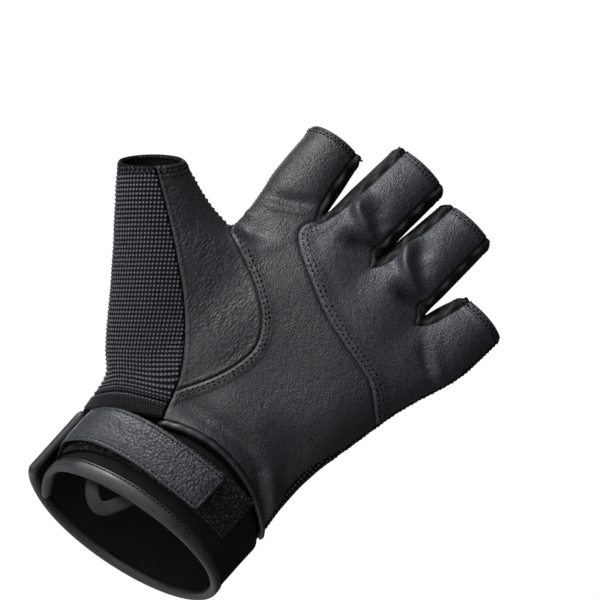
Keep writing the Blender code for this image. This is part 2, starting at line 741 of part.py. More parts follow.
def make_pull_loop():
    """The webbing loop that hangs below the wrist edge, both ends inside the band."""
    inside = -BAND_WALL - (BINDING_DEPTH - BAND_WALL) / 2 - 2 * GAP - LOOP_WALL / 2
    middle_turn = (LOOP_LEFT + LOOP_RIGHT) / 2
    half_turn = (LOOP_RIGHT - LOOP_LEFT) / 2
    route = [(-1, LOOP_TOP), (-1, LOOP_TOP * 0.4)]
    steps = 8
    bend_top = LOOP_TOP * 0.4 - LOOP_DROP * 0.35
    for step in range(steps + 1):
        angle = math.pi * step / steps
        route.append((-math.cos(angle), bend_top - (LOOP_DROP + bend_top) * math.sin(angle)))
    route += [(1, LOOP_TOP * 0.4), (1, LOOP_TOP)]
    centres = [cuff_point(middle_turn + half_turn * side, height, inside) for side, height in route]
    sections = []
    for index, centre in enumerate(centres):
        before = centres[max(index - 1, 0)]
        after = centres[min(index + 1, len(centres) - 1)]
        along = (after - before).normalized()
        out = band_side(middle_turn, 0.0, inside)
        across = along.cross(out).normalized()
        out = across.cross(along).normalized()
        half = across * LOOP_WIDTH / 2
        thick = out * LOOP_WALL / 2
        sections.append([centre - half - thick, centre + half - thick,
                         centre + half + thick, centre - half + thick])
    return loft(sections)


def make_material(name, colour, roughness):
    """A plain Principled material with the piece's own colour."""
    material = bpy.data.materials.new(name)
    material.use_nodes = True
    shader = material.node_tree.nodes["Principled BSDF"]
    shader.inputs["Base Color"].default_value = (*colour, 1)
    shader.inputs["Roughness"].default_value = roughness
    shader.inputs["Metallic"].default_value = 0
    return material


def add_part(name, shape, collection, colour, roughness):
    """Make one named object from a finished bmesh."""
    mesh = bpy.data.meshes.new(name)
    shape.to_mesh(mesh)
    shape.free()
    part = bpy.data.objects.new(name, mesh)
    part.data.materials.append(make_material(name, colour, roughness))
    collection.objects.link(part)
    return part


LEATHER = ((0.032, 0.033, 0.037), 0.45)
WEAVE = ((0.010, 0.010, 0.012), 0.85)
BINDING = ((0.040, 0.042, 0.046), 0.38)
TAPE = ((0.007, 0.007, 0.008), 0.95)


def main():
    """Build the glove's pieces, each one object."""
    for old in list(bpy.data.objects):
        bpy.data.objects.remove(old)
    parts = bpy.data.collections.new("trekking_glove")
    guides = bpy.data.collections.new("cutters")
    for collection in (parts, guides):
        bpy.context.scene.collection.children.link(collection)

    skin = make_skin(guides)
    dent_skin(skin)
    cut_region(skin, Seam(WEAVE_SEAM, WEAVE_SEAM_ENDS), FRONT, FRONT, THUMB_WEAVE)
    cut_region(skin, Seam(PATCH_SEAM, PATCH_SEAM_ENDS), FRONT, FRONT, THUMB_LEATHER)
    cut_region(skin, Seam(PALM_SEAM, PALM_SEAM_ENDS), FRONT, FINGER_LEATHER, FRONT)
    skin.normal_update()
    panels = [("palm_leather", FRONT, LEATHER_WALL, LEATHER),
              ("finger_leather", FINGER_LEATHER, LEATHER_WALL, LEATHER),
              ("thumb_leather", THUMB_LEATHER, LEATHER_WALL, LEATHER),
              ("thumb_weave", THUMB_WEAVE, WEAVE_WALL, WEAVE),
              ("back_weave", BACK, WEAVE_WALL, WEAVE)]
    for index in range(FINGERS - 1):
        panels.append((f"fourchette_{index + 1}", FOURCHETTE + index, WEAVE_WALL, WEAVE))
    for name, region, wall, (colour, roughness) in panels:
        add_part(name, make_panel(skin, region, wall), parts, colour, roughness)
    skin.free()

    for name, make, (colour, roughness) in (
            ("cuff_band", make_band, WEAVE),
            ("cuff_binding", make_cuff_binding, BINDING),
            ("side_binding", make_side_binding, BINDING),
            ("palm_roll", make_palm_roll, LEATHER),
            ("strap", make_strap, LEATHER),
            ("hook_tape", make_hook_tape, TAPE),
            ("loop_tape", make_loop_tape, TAPE),
            ("pull_loop", make_pull_loop, WEAVE)):
        add_part(name, make(), parts, colour, roughness)


main()
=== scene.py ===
"""The looks of a half-finger trekking glove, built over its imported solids, in metres.

+Z runs from the wrist to the fingertips, the palm faces -Y and the thumb lies towards -X. One
smooth form of the hand is cut along its seams into leather and stretch panels, and the pieces of
the cuff are wrapped round the wrist by one function of angle, height and stand-off.
"""

from __future__ import annotations

import logging
import math
from collections.abc import Callable, Sequence
from dataclasses import dataclass, field
from enum import IntEnum

import bmesh
import bpy
import numpy as np
from bmesh.types import BMEdge, BMesh, BMFace, BMVert
from bpy.types import Material, NodeSocket, NodeTree
from mathutils import Matrix, Vector, noise
from mathutils.bvhtree import BVHTree
from mathutils.kdtree import KDTree


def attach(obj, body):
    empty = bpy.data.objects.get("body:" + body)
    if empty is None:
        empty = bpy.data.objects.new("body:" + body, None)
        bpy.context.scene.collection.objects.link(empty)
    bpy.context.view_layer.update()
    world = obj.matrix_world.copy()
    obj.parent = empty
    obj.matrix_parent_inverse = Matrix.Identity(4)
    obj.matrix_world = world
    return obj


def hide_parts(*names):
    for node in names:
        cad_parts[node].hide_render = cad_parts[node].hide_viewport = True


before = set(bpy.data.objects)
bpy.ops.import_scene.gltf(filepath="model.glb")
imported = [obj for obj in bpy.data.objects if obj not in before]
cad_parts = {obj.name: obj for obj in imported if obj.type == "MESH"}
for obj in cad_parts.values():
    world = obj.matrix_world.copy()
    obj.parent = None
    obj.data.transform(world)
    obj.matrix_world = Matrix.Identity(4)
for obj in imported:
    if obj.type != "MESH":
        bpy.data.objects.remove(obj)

LOG = logging.getLogger("glove")
MM = 0.001

Point = tuple[float, float]


class Region(IntEnum):
    """The panel that a face of the hand's form belongs to."""

    PALM_LEATHER = 0
    BACK_WEAVE = 1
    THUMB_WEAVE = 2
    THUMB_LEATHER = 3
    FINGER_LEATHER = 4
    FOURCHETTE_1 = 5
    FOURCHETTE_2 = 6
    FOURCHETTE_3 = 7


# Helpers


def linear(hex_colour: str) -> tuple[float, float, float, float]:
    """Turn an sRGB hex colour into Blender's linear colour.

    Args:
        hex_colour: six hex digits, such as "2e3033".

    Returns:
        Red, green, blue and an alpha of 1.
    """
    shares = [int(hex_colour[start:start + 2], 16) / 255 for start in (0, 2, 4)]
    curve = [s / 12.92 if s <= 0.04045 else ((s + 0.055) / 1.055) ** 2.4 for s in shares]
    return (curve[0], curve[1], curve[2], 1.0)


def smoothstep(value: float, low: float, high: float) -> float:
    """Rise smoothly from 0 at low to 1 at high."""
    t = min(max((value - low) / (high - low), 0.0), 1.0)
    return t * t * (3 - 2 * t)


def rise(values: np.ndarray, low: float, high: float) -> np.ndarray:
    """The same smooth rise for an array."""
    t = np.clip((values - low) / (high - low), 0.0, 1.0)
    return t * t * (3 - 2 * t)


def bell(values: np.ndarray, middle: float, reach: float) -> np.ndarray:
    """A smooth bump of height 1 round a middle value."""
    return np.exp(-(((values - middle) / reach) ** 2))


def ripple(values: np.ndarray, pitch_mm: float) -> np.ndarray:
    """A wave from 0 to 1 with its tops this far apart."""
    return 0.5 + 0.5 * np.cos(math.tau * values / (pitch_mm * MM))


def catmull_rom(points: Sequence[Vector], steps: int = 8) -> list[Vector]:
    """Points along the smooth curve through the given ones."""
    padded = [points[0] * 2 - points[1], *points, points[-1] * 2 - points[-2]]
    curve = []
    for a, b, c, d in zip(padded, padded[1:], padded[2:], padded[3:]):
        for step in range(steps):
            t = step / steps
            curve.append(0.5 * (2 * b + (c - a) * t + (2 * a - 5 * b + 4 * c - d) * t * t
                                + (3 * b - 3 * c + d - a) * t ** 3))
    curve.append(points[-1].copy())
    return curve


def measure(places: np.ndarray, line: np.ndarray) -> tuple[np.ndarray, np.ndarray]:
    """Distances of places from a line of points in a plane.

    Args:
        places: N by 2.
        line: M by 2, in order.

    Returns:
        The distances, positive on the line's left, and the nearest points on it.
    """
    start, along = line[:-1], np.diff(line, axis=0)
    reach = np.full(len(places), np.inf)
    signed = np.zeros(len(places))
    foot = np.zeros_like(places)
    for a, step in zip(start, along):
        t = np.clip(((places - a) @ step) / (step @ step), 0.0, 1.0)
        near = a + t[:, None] * step
        away = np.hypot(*(places - near).T)
        better = away < reach
        cross = step[0] * (places[:, 1] - a[1]) - step[1] * (places[:, 0] - a[0])
        signed[better] = np.copysign(away, cross)[better]
        foot[better] = near[better]
        reach[better] = away[better]
    return signed, foot


def ring_edges(ring: Sequence[BMVert]) -> list[BMEdge]:
    """The edges that join a closed ring of vertices, in the ring's order."""
    pairs = zip(ring, [*ring[1:], ring[0]])
    return [next(edge for edge in a.link_edges if edge.other_vert(a) == b) for a, b in pairs]


def extrude_ring(form: BMesh, ring: Sequence[BMVert],
                 places: Sequence[Vector]) -> tuple[list, list]:
    """Extrude a closed ring of vertices to new places.

    Args:
        form: the mesh that holds the ring.
        ring: the vertices, in order.
        places: where the new ones go, in the same order.

    Returns:
        The new ring, and the faces between the two rings.
    """
    made = bmesh.ops.extrude_edge_only(form, edges=ring_edges(ring))
    fresh = {item for item in made["geom"] if isinstance(item, BMVert)}
    grown = [next(edge.other_vert(vert) for edge in vert.link_edges
                  if edge.other_vert(vert) in fresh) for vert in ring]
    for vert, place in zip(grown, places):
        vert.co = place
    return grown, [edge.link_faces[0] for edge in ring_edges(grown)]


def thicken(form: BMesh, wall: float, outs: dict | None = None) -> list:
    """Give a sheet its wall, on the side away from its normals.

    Args:
        form: the sheet.
        wall: the thickness.
        outs: outward directions by vertex, where they aren't the sheet's own normals.

    Returns:
        The faces of the outer side.
    """
    form.normal_update()
    outer = form.faces[:]
    whole = [*form.verts, *form.edges, *form.faces]
    directions = {vert: (outs[vert] if outs else vert.normal.copy()) for vert in form.verts}
    made = bmesh.ops.duplicate(form, geom=whole)
    copies = made["vert_map"]
    rim = [edge for edge in form.edges if edge.is_boundary and edge.verts[0] in directions]
    for vert, out in directions.items():
        copies[vert].co = vert.co - out * wall
    inner = [item for item in made["geom"] if isinstance(item, BMFace)]
    bmesh.ops.reverse_faces(form, faces=inner)
    for face in inner:
        face.material_index = 1
    for edge in rim:
        loop = edge.link_loops[0]
        a, b = loop.vert, loop.link_loop_next.vert
        face = form.faces.new([b, a, copies[a], copies[b]])
        face.smooth = True
        edge.smooth = False
    return outer


def finished(name: str, form: BMesh, slot: str, node: str | None,
             *materials: Material) -> None:
    """Make a finished piece that rides on the glove.

    Args:
        name: the piece's name.
        form: its mesh, which is freed.
        slot: not used.
        node: the solid that it stands for.
        materials: the outer finish, and the inner one if it has its own.
    """
    for face in form.faces:
        face.smooth = True
    mesh = bpy.data.meshes.new(name)
    form.to_mesh(mesh)
    form.free()
    piece = bpy.data.objects.new(name, mesh)
    for material in materials:
        mesh.materials.append(material)
    bpy.context.scene.collection.objects.link(piece)
    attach(piece, "root")
    if node:
        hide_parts(node)
    triangles = sum(len(face.vertices) - 2 for face in mesh.polygons)
    LOG.info("%s: %d triangles", name, triangles)


# Finishes


def add_node(tree: NodeTree, kind: str, settings: dict | None = None,
             links: dict | None = None, into: NodeSocket | None = None,
             take: int | str = 0) -> NodeSocket:
    """Add a shader node.

    Args:
        tree: the material's nodes.
        kind: the node's type, without the words ShaderNode in front.
        settings: properties by name, and socket values by socket name or number.
        links: output sockets by input socket name or number.
        into: the socket that the output goes to.
        take: the name or number of the output.

    Returns:
        The output.
    """
    made = tree.nodes.new("ShaderNode" + kind)
    for key, value in (settings or {}).items():
        if isinstance(key, str) and hasattr(made, key) and key not in made.inputs:
            setattr(made, key, value)
        else:
            made.inputs[key].default_value = value
    for key, output in (links or {}).items():
        tree.links.new(output, made.inputs[key])
    if into is not None:
        tree.links.new(made.outputs[take], into)
    return made.outputs[take]


@dataclass(frozen=True)
class Skin:
    """What a finish is dressed on: its nodes, the shader's sockets and the piece's own
    coordinates."""

    tree: NodeTree
    sockets: bpy.types.NodeInputs
    place: NodeSocket

    def add(self, kind: str, settings: dict | None = None, links: dict | None = None,
            into: str = "", take: int | str = 0) -> NodeSocket:
        """Add a node. Without links, it reads the piece's coordinates if it can.

        Args:
            kind: as for add_node.
            settings: as for add_node.
            links: as for add_node.
            into: the shader's socket that the output goes to.
            take: as for add_node.

        Returns:
            The output.
        """
        reads = {"Vector": self.place} if links is None else links
        return add_node(self.tree, kind, settings, reads,
                        self.sockets[into] if into else None, take)

    def tint(self, value: NodeSocket, low: str, high: str, start: float = 0.0,
             end: float = 1.0) -> None:
        """Let the base colour go from low to high as a value goes from start to end."""
        made = self.add("ValToRGB", links={"Fac": value}, into="Base Color")
        ends = zip(made.node.color_ramp.elements, (low, high), (start, end))
        for element, colour, position in ends:
            element.color, element.position = linear(colour), position


@dataclass(frozen=True)
class Finish:
    """What every finish shares: its name, base colour and gloss."""

    name: str
    colour: str
    roughness: float
    shine: float = 0.5

    def build(self) -> Material:
        """The material: the plain values, and the finish's own pattern over them."""
        material = bpy.data.materials.new(self.name)
        material.use_nodes = True
        tree = material.node_tree
        sockets = tree.nodes["Principled BSDF"].inputs
        sockets["Base Color"].default_value = linear(self.colour)
        sockets["Roughness"].default_value = self.roughness
        sockets["Specular IOR Level"].default_value = self.shine
        self.dress(Skin(tree, sockets, add_node(tree, "TexCoord", take="Object")))
        return material

    def dress(self, skin: Skin) -> None:
        """Link what varies over the surface. Each finish has its own way."""
        raise NotImplementedError


@dataclass(frozen=True)
class GrainLeather(Finish):
    """Drum-dyed goat leather with a pressed pebble grain, and a semi-matt pigment finish."""

    grain_mm: float = 0.85
    depth_mm: float = 0.10
    stretch: tuple[float, float, float] = (1.0, 1.0, 1.0)
    turn_degrees: float = 0.0
    calm: float = 0.4
    calm_from_x_mm: tuple[float, ...] = ()
    # light: the lighter colour of the pebble tops, a painted highlight; the base colour stands for
    # the painted shade of the creases
    light: str = "3a3c41"

    def dress(self, skin: Skin) -> None:
        """Pebbles over a slow waviness, glossier on top, with a painted highlight on top and
        painted shade in the creases.
        """
        turned = skin.add("Mapping", {"Rotation": (0.0, math.radians(self.turn_degrees), 0.0),
                                      "Scale": self.stretch})
        pebbles = skin.add("TexVoronoi", {"Scale": 1000 / self.grain_mm}, {"Vector": turned})
        waves = skin.add("TexNoise", {"Scale": 300 / self.grain_mm, "Detail": 3.0},
                         {"Vector": turned})
        height = skin.add("Math", {"operation": "MULTIPLY_ADD", 1: -0.7}, {0: pebbles, 2: waves})
        reach = {"From Min": 0.35, "From Max": 0.65, "To Min": self.calm, "To Max": 1.0}
        if self.calm_from_x_mm:
            patches = skin.add("SeparateXYZ", take="X")
            reach["From Min"], reach["From Max"] = (x * MM for x in self.calm_from_x_mm)
        else:
            patches = skin.add("TexNoise", {"Scale": 70.0, "Detail": 2.0})
        strength = skin.add("MapRange", reach, {"Value": patches})
        skin.add("Bump", {"Distance": self.depth_mm * MM},
                 {"Height": height, "Strength": strength}, "Normal")
        # Painted highlight on the pebble tops, and painted shade darkening into their creases
        skin.tint(pebbles, self.light, self.colour, 0.15, 0.65)
        skin.add("MapRange", {"From Min": 0.0, "From Max": 0.8, "To Min": self.roughness - 0.04,
                              "To Max": self.roughness + 0.16}, {"Value": pebbles}, "Roughness")


@dataclass(frozen=True)
class BeadedRib(Finish):
    """Polyester rib jersey with raised stitches. The beads are in the mesh, and their height is
    its attribute crown, which the colour follows: a painted highlight on top, painted shade
    between."""

    shine: float = 0.12
    # top: the colour of the painted highlight on the bead tops
    top: str = "77747d"
    drawn_mm: tuple[float, ...] = ()

    def dress(self, skin: Skin) -> None:
        """Painted shade between the beads and a painted highlight on their tops, with a short yarn
        fuzz.
        """
        crown = (self.drawn_beads(skin) if self.drawn_mm
                 else skin.add("Attribute", {"attribute_name": "crown"}, {}, take="Fac"))
        yarn = skin.add("TexNoise", {"Scale": 2600.0, "Detail": 2.0})
        # Painted shade between the beads and painted highlight on their tops, stirred by the yarn
        # noise
        painted_bead_light = skin.add("Math", {"operation": "MULTIPLY_ADD", 1: 0.35}, {0: yarn, 2: crown})
        skin.tint(painted_bead_light, self.colour, self.top, 0.52, 1.05)
        skin.add("Bump", {"Distance": 0.2 * MM, "Strength": 0.6},
                 {"Height": painted_bead_light if self.drawn_mm else yarn}, "Normal")

    def drawn_beads(self, skin: Skin) -> NodeSocket:
        """The same beads by object coordinates, for the back, whose mesh is too coarse for them."""
        waves = {}
        for side, (axis, pitch) in enumerate(zip("XZ", self.drawn_mm)):
            place = skin.add("SeparateXYZ", take=axis)
            angle = skin.add("Math", {"operation": "MULTIPLY", 1: math.tau / (pitch * MM)},
                             {0: place})
            wave = skin.add("Math", {"operation": "COSINE"}, {0: angle})
            waves[side] = skin.add("Math", {"operation": "MULTIPLY_ADD", 1: 0.5, 2: 0.5}, {0: wave})
        return skin.add("Math", {"operation": "MULTIPLY"}, waves)


@dataclass(frozen=True)
class FineKnit(Finish):
    """Brushed polyester knit, which reads as soft and almost without gloss."""

    shine: float = 0.12
    pitch_mm: float = 0.55
    light: str = "1c1c1f"

    def dress(self, skin: Skin) -> None:
        """Tiny cells of yarn, and soft lighter patches where the nap lies over."""
        cells = skin.add("TexVoronoi", {"Scale": 1000 / self.pitch_mm})
        nap = skin.add("TexNoise", {"Scale": 140.0, "Detail": 5.0})
        skin.tint(nap, self.colour, self.light, 0.35, 0.8)
        skin.add("Bump", {"Distance": 0.12 * MM, "Strength": 0.7}, {"Height": cells}, "Normal")


@dataclass(frozen=True)
class CoatedTrim(Finish):
    """Polyurethane-coated binding, folded over the edge: smooth, with a soft long highlight."""

    light: str = "4a4d52"

    def dress(self, skin: Skin) -> None:
        """A very fine grain and slow changes in gloss."""
        grain = skin.add("TexNoise", {"Scale": 1500.0, "Detail": 3.0})
        slow = skin.add("TexNoise", {"Scale": 120.0, "Detail": 2.0})
        skin.tint(slow, self.colour, self.light, 0.4, 0.75)
        skin.add("MapRange", {"From Min": 0.3, "From Max": 0.7, "To Min": self.roughness - 0.05,
                              "To Max": self.roughness + 0.12}, {"Value": slow}, "Roughness")
        skin.add("Bump", {"Distance": 0.05 * MM, "Strength": 0.5}, {"Height": grain}, "Normal")


@dataclass(frozen=True)
class LoopPile(Finish):
    """Napped nylon loop tape, black with tiny painted glints where single loops catch the light."""

    shine: float = 0.2
    # speck: the colour of the painted glints on the pile
    speck: str = "6c6a6e"

    def dress(self, skin: Skin) -> None:
        """Matted pile with sparse painted glints of single fibres."""
        pile = skin.add("TexNoise", {"Scale": 1300.0, "Detail": 4.0, "Roughness": 0.75})
        skin.tint(pile, self.colour, self.speck, 0.54, 0.78)
        skin.add("Bump", {"Distance": 0.5 * MM, "Strength": 1.0}, {"Height": pile}, "Normal")


@dataclass(frozen=True)
class Webbing(Finish):
    """Woven nylon grosgrain. Its cross ribs are in the mesh, with their height in crown."""

    shine: float = 0.2
    # top: the colour of the painted highlight on the rib tops
    top: str = "4c4e57"

    def dress(self, skin: Skin) -> None:
        """Painted highlight on the rib tops over painted shade in the grooves, with a little silk.
        """
        crown = skin.add("Attribute", {"attribute_name": "crown"}, {}, take="Fac")
        skin.tint(crown, self.colour, self.top, 0.4, 1.0)
        yarn = skin.add("TexNoise", {"Scale": 3000.0})
        skin.add("Bump", {"Distance": 0.06 * MM, "Strength": 0.5}, {"Height": yarn}, "Normal")


@dataclass(frozen=True)
class Thread(Finish):
    """Bonded nylon sewing thread, and the black painted shade of the needle holes it pulls into the
    leather.
    """

    shine: float = 0.3
    light: str = "1a1a1b"

    def dress(self, skin: Skin) -> None:
        """Plain twist, too fine to draw at this size, so only its colour varies."""
        skin.tint(skin.add("TexNoise", {"Scale": 900.0}), self.colour, self.light, 0.4, 0.9)


@dataclass(frozen=True)
class PaintedBoard(Finish):
    """Matt painted board for the floor."""

    dark: str = "eeeeee"

    def dress(self, skin: Skin) -> None:
        """Even and pale, with the faintest mottle."""
        skin.tint(skin.add("TexNoise", {"Scale": 4.0}), self.dark, self.colour)


# The light colours of the leathers are painted highlights on their pebble tops, over painted shade
# in the creases
PALM_HIDE = GrainLeather("goat_leather_pebbled", "0a0b0e", 0.46, grain_mm=0.66,
                         depth_mm=0.30, light="22242b")
FINGER_HIDE = GrainLeather("goat_leather_pebbled_fingers", "0e0f12", 0.44, grain_mm=0.62,
                           depth_mm=0.28, light="2d303a")
THUMB_HIDE = GrainLeather("goat_leather_wrinkled", "0f0f13", 0.48, grain_mm=0.74, depth_mm=0.38,
                          stretch=(1.0, 1.0, 0.42), turn_degrees=-8.0, light="25262c")
STRAP_HIDE = GrainLeather("goat_leather_coarse", "0f1116", 0.45, grain_mm=0.95,
                          depth_mm=0.48, calm=0.10, calm_from_x_mm=(-34, -14), light="2a2d38")
ROLL_HIDE = GrainLeather("goat_leather_turned_roll", "0c0d10", 0.38, grain_mm=0.6,
                         depth_mm=0.08, light="17181d")
FLESH_SIDE = FineKnit("leather_flesh_side", "070707", 0.9, light="0f0f10")
# The top colours of the jerseys paint a highlight on the bead tops over painted shade between them
RIB_JERSEY = BeadedRib("rib_jersey_beaded", "030304", 0.75, top="55515b")
BACK_JERSEY = BeadedRib("rib_jersey_back", "030304", 0.80, top="4a4750",
                        drawn_mm=(1.33, 1.50))
SIDE_KNIT = FineKnit("side_strip_knit", "040405", 0.66, light="111113", shine=0.25)
CUFF_KNIT = FineKnit("brushed_cuff_knit", "060606", 0.80, light="0c0c0d")
BINDING_TRIM = CoatedTrim("coated_binding", "101113", 0.46, light="1d1f22")
# The specks on both tapes are painted glints
HOOK_NYLON = LoopPile("nylon_hook_tape", "030303", 0.6)
LOOP_NYLON = LoopPile("nylon_loop_tape", "030303", 0.95)
# The top colour is a painted highlight on the webbing's ribs
GROSGRAIN = Webbing("nylon_grosgrain", "020203", 0.60, top="222329")
SEWING = Thread("bonded_nylon_thread", "17181b", 0.45, light="3a3c41")
# Black matt ellipsoids sunk at the needle holes: painted shade, standing for the dark inside each
# hole
NEEDLE_HOLE_SHADE = Thread("needle_hole_shade", "000000", 1.0, light="020202", shine=0.0)
FLOOR_BOARD = PaintedBoard("painted_board", "f6f6f6", 0.8)


# The wrist, which the cuff wraps and the hand's lower edge stands over


@dataclass
class Wrist:
    """The cuff's line round the wrist, as a function of angle, height and stand-off."""

    half_width: float = 0.0376
    half_depth: float = 0.0235
    height: float = 0.029
    tuck: float = 0.0035
    taper: float = 0.0040
    taper_start: float = 0.0055
    taper_end: float = 0.0015
    edge_rise_x: float = 0.12
    edge_rise_y: float = 0.58
    hem_drop: float = 0.003
    hem_flare: float = 0.0015
    low_section_rise: float = 0.0042
    gap: float = 0.0003
    wall: float = 0.0020
    start: float = -22.0
    end: float = 358.0
    sink_end: float = 50.0
    flap_start: float = 312.0
    flap_turn: float = 12.0
    inner_sink: float = 0.0055
    flap_standoff: float = 0.0020
    flap_drop: float = 0.0011

    # Turn, and how far the gathered lower edge hangs below its line there, in millimetres
    sag = ((36, 0.0), (52, 0.8), (64, 1.5), (74, 1.4), (92, 0.0))

    # How much higher the hand part's lower edge stands than its even line, as shares of height
    course = (-0.121, -0.224, -0.166, -0.083, 0.159, 0.186, 0.193, 0.159, 0.083, 0.055,
              0.052, 0.024, 0.000, 0.000, 0.000, 0.000, 0.000, 0.000, 0.000, -0.052)

    def hem_course(self, turn: float) -> float:
        """Rise of the lower edge over its even line, rounded as the smooth form rounds it."""
        place = turn / 360 * len(self.course)
        first = math.floor(place)
        t = place - first
        weights = ((1 - t) ** 3, 3 * t ** 3 - 6 * t * t + 4,
                   -3 * t ** 3 + 3 * t * t + 3 * t + 1, t ** 3)
        near = [self.course[(first + step) % len(self.course)] for step in (-1, 0, 1, 2)]
        return sum(weight * share for weight, share in zip(weights, near)) / 6

    def hem_sag(self, turns: np.ndarray) -> np.ndarray:
        """How far the lower edge hangs below its line at these angles."""
        return np.interp(turns, *np.array(self.sag).T) * MM

    def turns_of(self, places: np.ndarray) -> np.ndarray:
        """The angle round the wrist at which points lie."""
        return np.degrees(np.arctan2(-places[:, 1] / self.half_depth,
                                     -places[:, 0] / self.half_width))

    def edge_z(self, x: float, y: float) -> float:
        """Height of the tilted plane of the wrist opening."""
        return self.edge_rise_x * x - self.edge_rise_y * y

    def hem_height(self, turn: float, course: float | None = None) -> float:
        """Height of the hand part's lower edge above the wrist edge."""
        share = self.hem_course(turn) if course is None else course
        return self.height * (1 + share) + self.hem_drop * math.cos(math.radians(turn))

    def above_hem(self, places: np.ndarray) -> np.ndarray:
        """How far points lie above the hand part's lower edge."""
        x, y, z = places.T
        steps = np.arange(-180, 181, 3)
        edge = np.interp(self.turns_of(places), steps, [self.hem_height(step) for step in steps])
        return z - (self.edge_rise_x * x - self.edge_rise_y * y) - edge

    def hem_point(self, turn: float, course: float | None = None) -> Vector:
        """A point on the hand part's lower edge, or on its cage if its course is given."""
        angle = math.radians(turn)
        x = -(self.half_width + self.hem_flare * 0.5) * math.cos(angle) - self.hem_flare
        y = -self.half_depth * math.sin(angle)
        return Vector((x, y, self.edge_z(x, y) + self.hem_height(turn, course)))

    def wrap_offset(self, turn: float) -> float:
        """How far the band stands off its own line, where its two ends overlap."""
        sink = -self.inner_sink * (1 - smoothstep(turn, self.start, self.sink_end))
        return sink + self.flap_standoff * smoothstep(turn, self.flap_start, 360)

    def point(self, turn: float, height: float, offset: float,
              wrap_turn: float | None = None, tucked: bool = False) -> Vector:
        """A point on the cuff.

        Args:
            turn: degrees round the wrist, from the thumb side over the palm.
            height: above the wrist edge.
            offset: stand-off from the band's outer face.
            wrap_turn: the angle whose overlap counts, where it isn't turn.
            tucked: whether the cuff narrows here to go inside the hand part.

        Returns:
            The point.
        """
        angle = math.radians(turn)
        below = self.hem_height(turn) - height
        taper = 0.0
        if tucked:
            taper = self.taper * (1 - smoothstep(below, self.taper_end, self.taper_start))
        half_x, half_y = self.half_width - taper, self.half_depth - taper
        x, y = -half_x * math.cos(angle), -half_y * math.sin(angle)
        out = Vector((-math.cos(angle) / half_x, -math.sin(angle) / half_y)).normalized()
        away = offset + self.wrap_offset(turn if wrap_turn is None else wrap_turn)
        return Vector((x + out.x * away, y + out.y * away, self.edge_z(x, y) + height))

    def out(self, turn: float, height: float, offset: float) -> Vector:
        """The outward direction at a point."""
        step = self.point(turn, height, offset + MM) - self.point(turn, height, offset)
        return step.normalized()

    def length_per_degree(self, turn: float) -> float:
        """Metres round the cuff for one degree, under the middle of the tab."""
        here, ahead = (self.point(turn + half, 0.0155, 0.002) for half in (-0.5, 0.5))
        return (ahead - here).length

    def band_top(self, turn: float) -> float:
        """Upper edge of the band: tucked into the hand part, except on the flap."""
        free = self.hem_height(turn) - 2 * self.gap - self.flap_drop
        tucked = self.hem_height(turn) + self.tuck
        share = smoothstep(turn, self.flap_start, self.flap_start + self.flap_turn)
        return tucked + (free - tucked) * share

    def wrap(self, rows: int, columns: int, start: float, end: float,
             height: Callable[[float, float], float],
             offset: Callable[[float, float], float], tucked: bool = False) -> BMesh:
        """A flat grid bent round the wrist.

        Args:
            rows: cells up the sheet.
            columns: cells round the wrist.
            start: its first angle.
            end: its last angle.
            height: of a point, from its angle and its share of the way up.
            offset: of a point, from the same two.
            tucked: whether it narrows to go inside the hand part.

        Returns:
            The sheet, with its face outwards.
        """
        form = bmesh.new()
        bmesh.ops.create_grid(form, x_segments=columns, y_segments=rows, size=1.0)
        for vert in form.verts:
            turn = start + (end - start) * (vert.co.x + 1) / 2
            share = (vert.co.y + 1) / 2
            vert.co = self.point(turn, height(turn, share), offset(turn, share), tucked=tucked)
        bmesh.ops.recalc_face_normals(form, faces=form.faces[:])
        form.normal_update()
        middle = form.faces[:][len(form.faces) // 2]
        here = middle.calc_center_median()
        if middle.normal.dot(Vector((here.x, here.y, 0))) < 0:
            bmesh.ops.reverse_faces(form, faces=form.faces[:])
        return form


# Seams and folds of the hand part


@dataclass(frozen=True)
class Seam:
    """A seam seen from the palm side, as shares of the root breadth and the palm length, with
    the rows of topstitching on its left and the width of the raised edge under them."""

    shares: tuple[Point, ...]
    ends: tuple[Point, Point]
    rows_mm: tuple[float, ...] = ()
    raised_mm: float = 0.0

    def smooth_line(self, hand: HandForm) -> list[Vector]:
        """The seam's curve in X and Z, without its run-outs."""
        places = [Vector((x * hand.root_breadth, z * hand.palm_length)) for x, z in self.shares]
        return catmull_rom(places)

    def line(self, hand: HandForm) -> np.ndarray:
        """The curve with a straight run-out at both ends."""
        first, last = (Vector((x * hand.root_breadth, z * hand.palm_length))
                       for x, z in self.ends)
        return np.array([first, *self.smooth_line(hand), last])


WEAVE_SEAM = Seam(((-0.782, 0.790), (-0.682, 0.742), (-0.536, 0.665), (-0.377, 0.568),
                   (-0.237, 0.440), (-0.171, 0.312)), ((-0.990, 0.890), (-0.155, 0.150)))
PATCH_SEAM = Seam(((-0.452, 0.805), (-0.363, 0.779), (-0.242, 0.737), (-0.147, 0.686),
                   (-0.097, 0.619), (-0.108, 0.545), (-0.143, 0.477), (-0.196, 0.406)),
                  ((-0.505, 0.892), (-0.253, 0.323)), (1.2, 2.5), 3.3)
PALM_SEAM = Seam(((-0.236, 0.985), (-0.266, 0.942), (-0.232, 0.900), (-0.088, 0.842),
                  (0.021, 0.806), (0.153, 0.779), (0.255, 0.762), (0.322, 0.741),
                  (0.418, 0.683)), ((-0.235, 1.400), (0.640, 0.540)), (1.6, 3.3), 4.2)


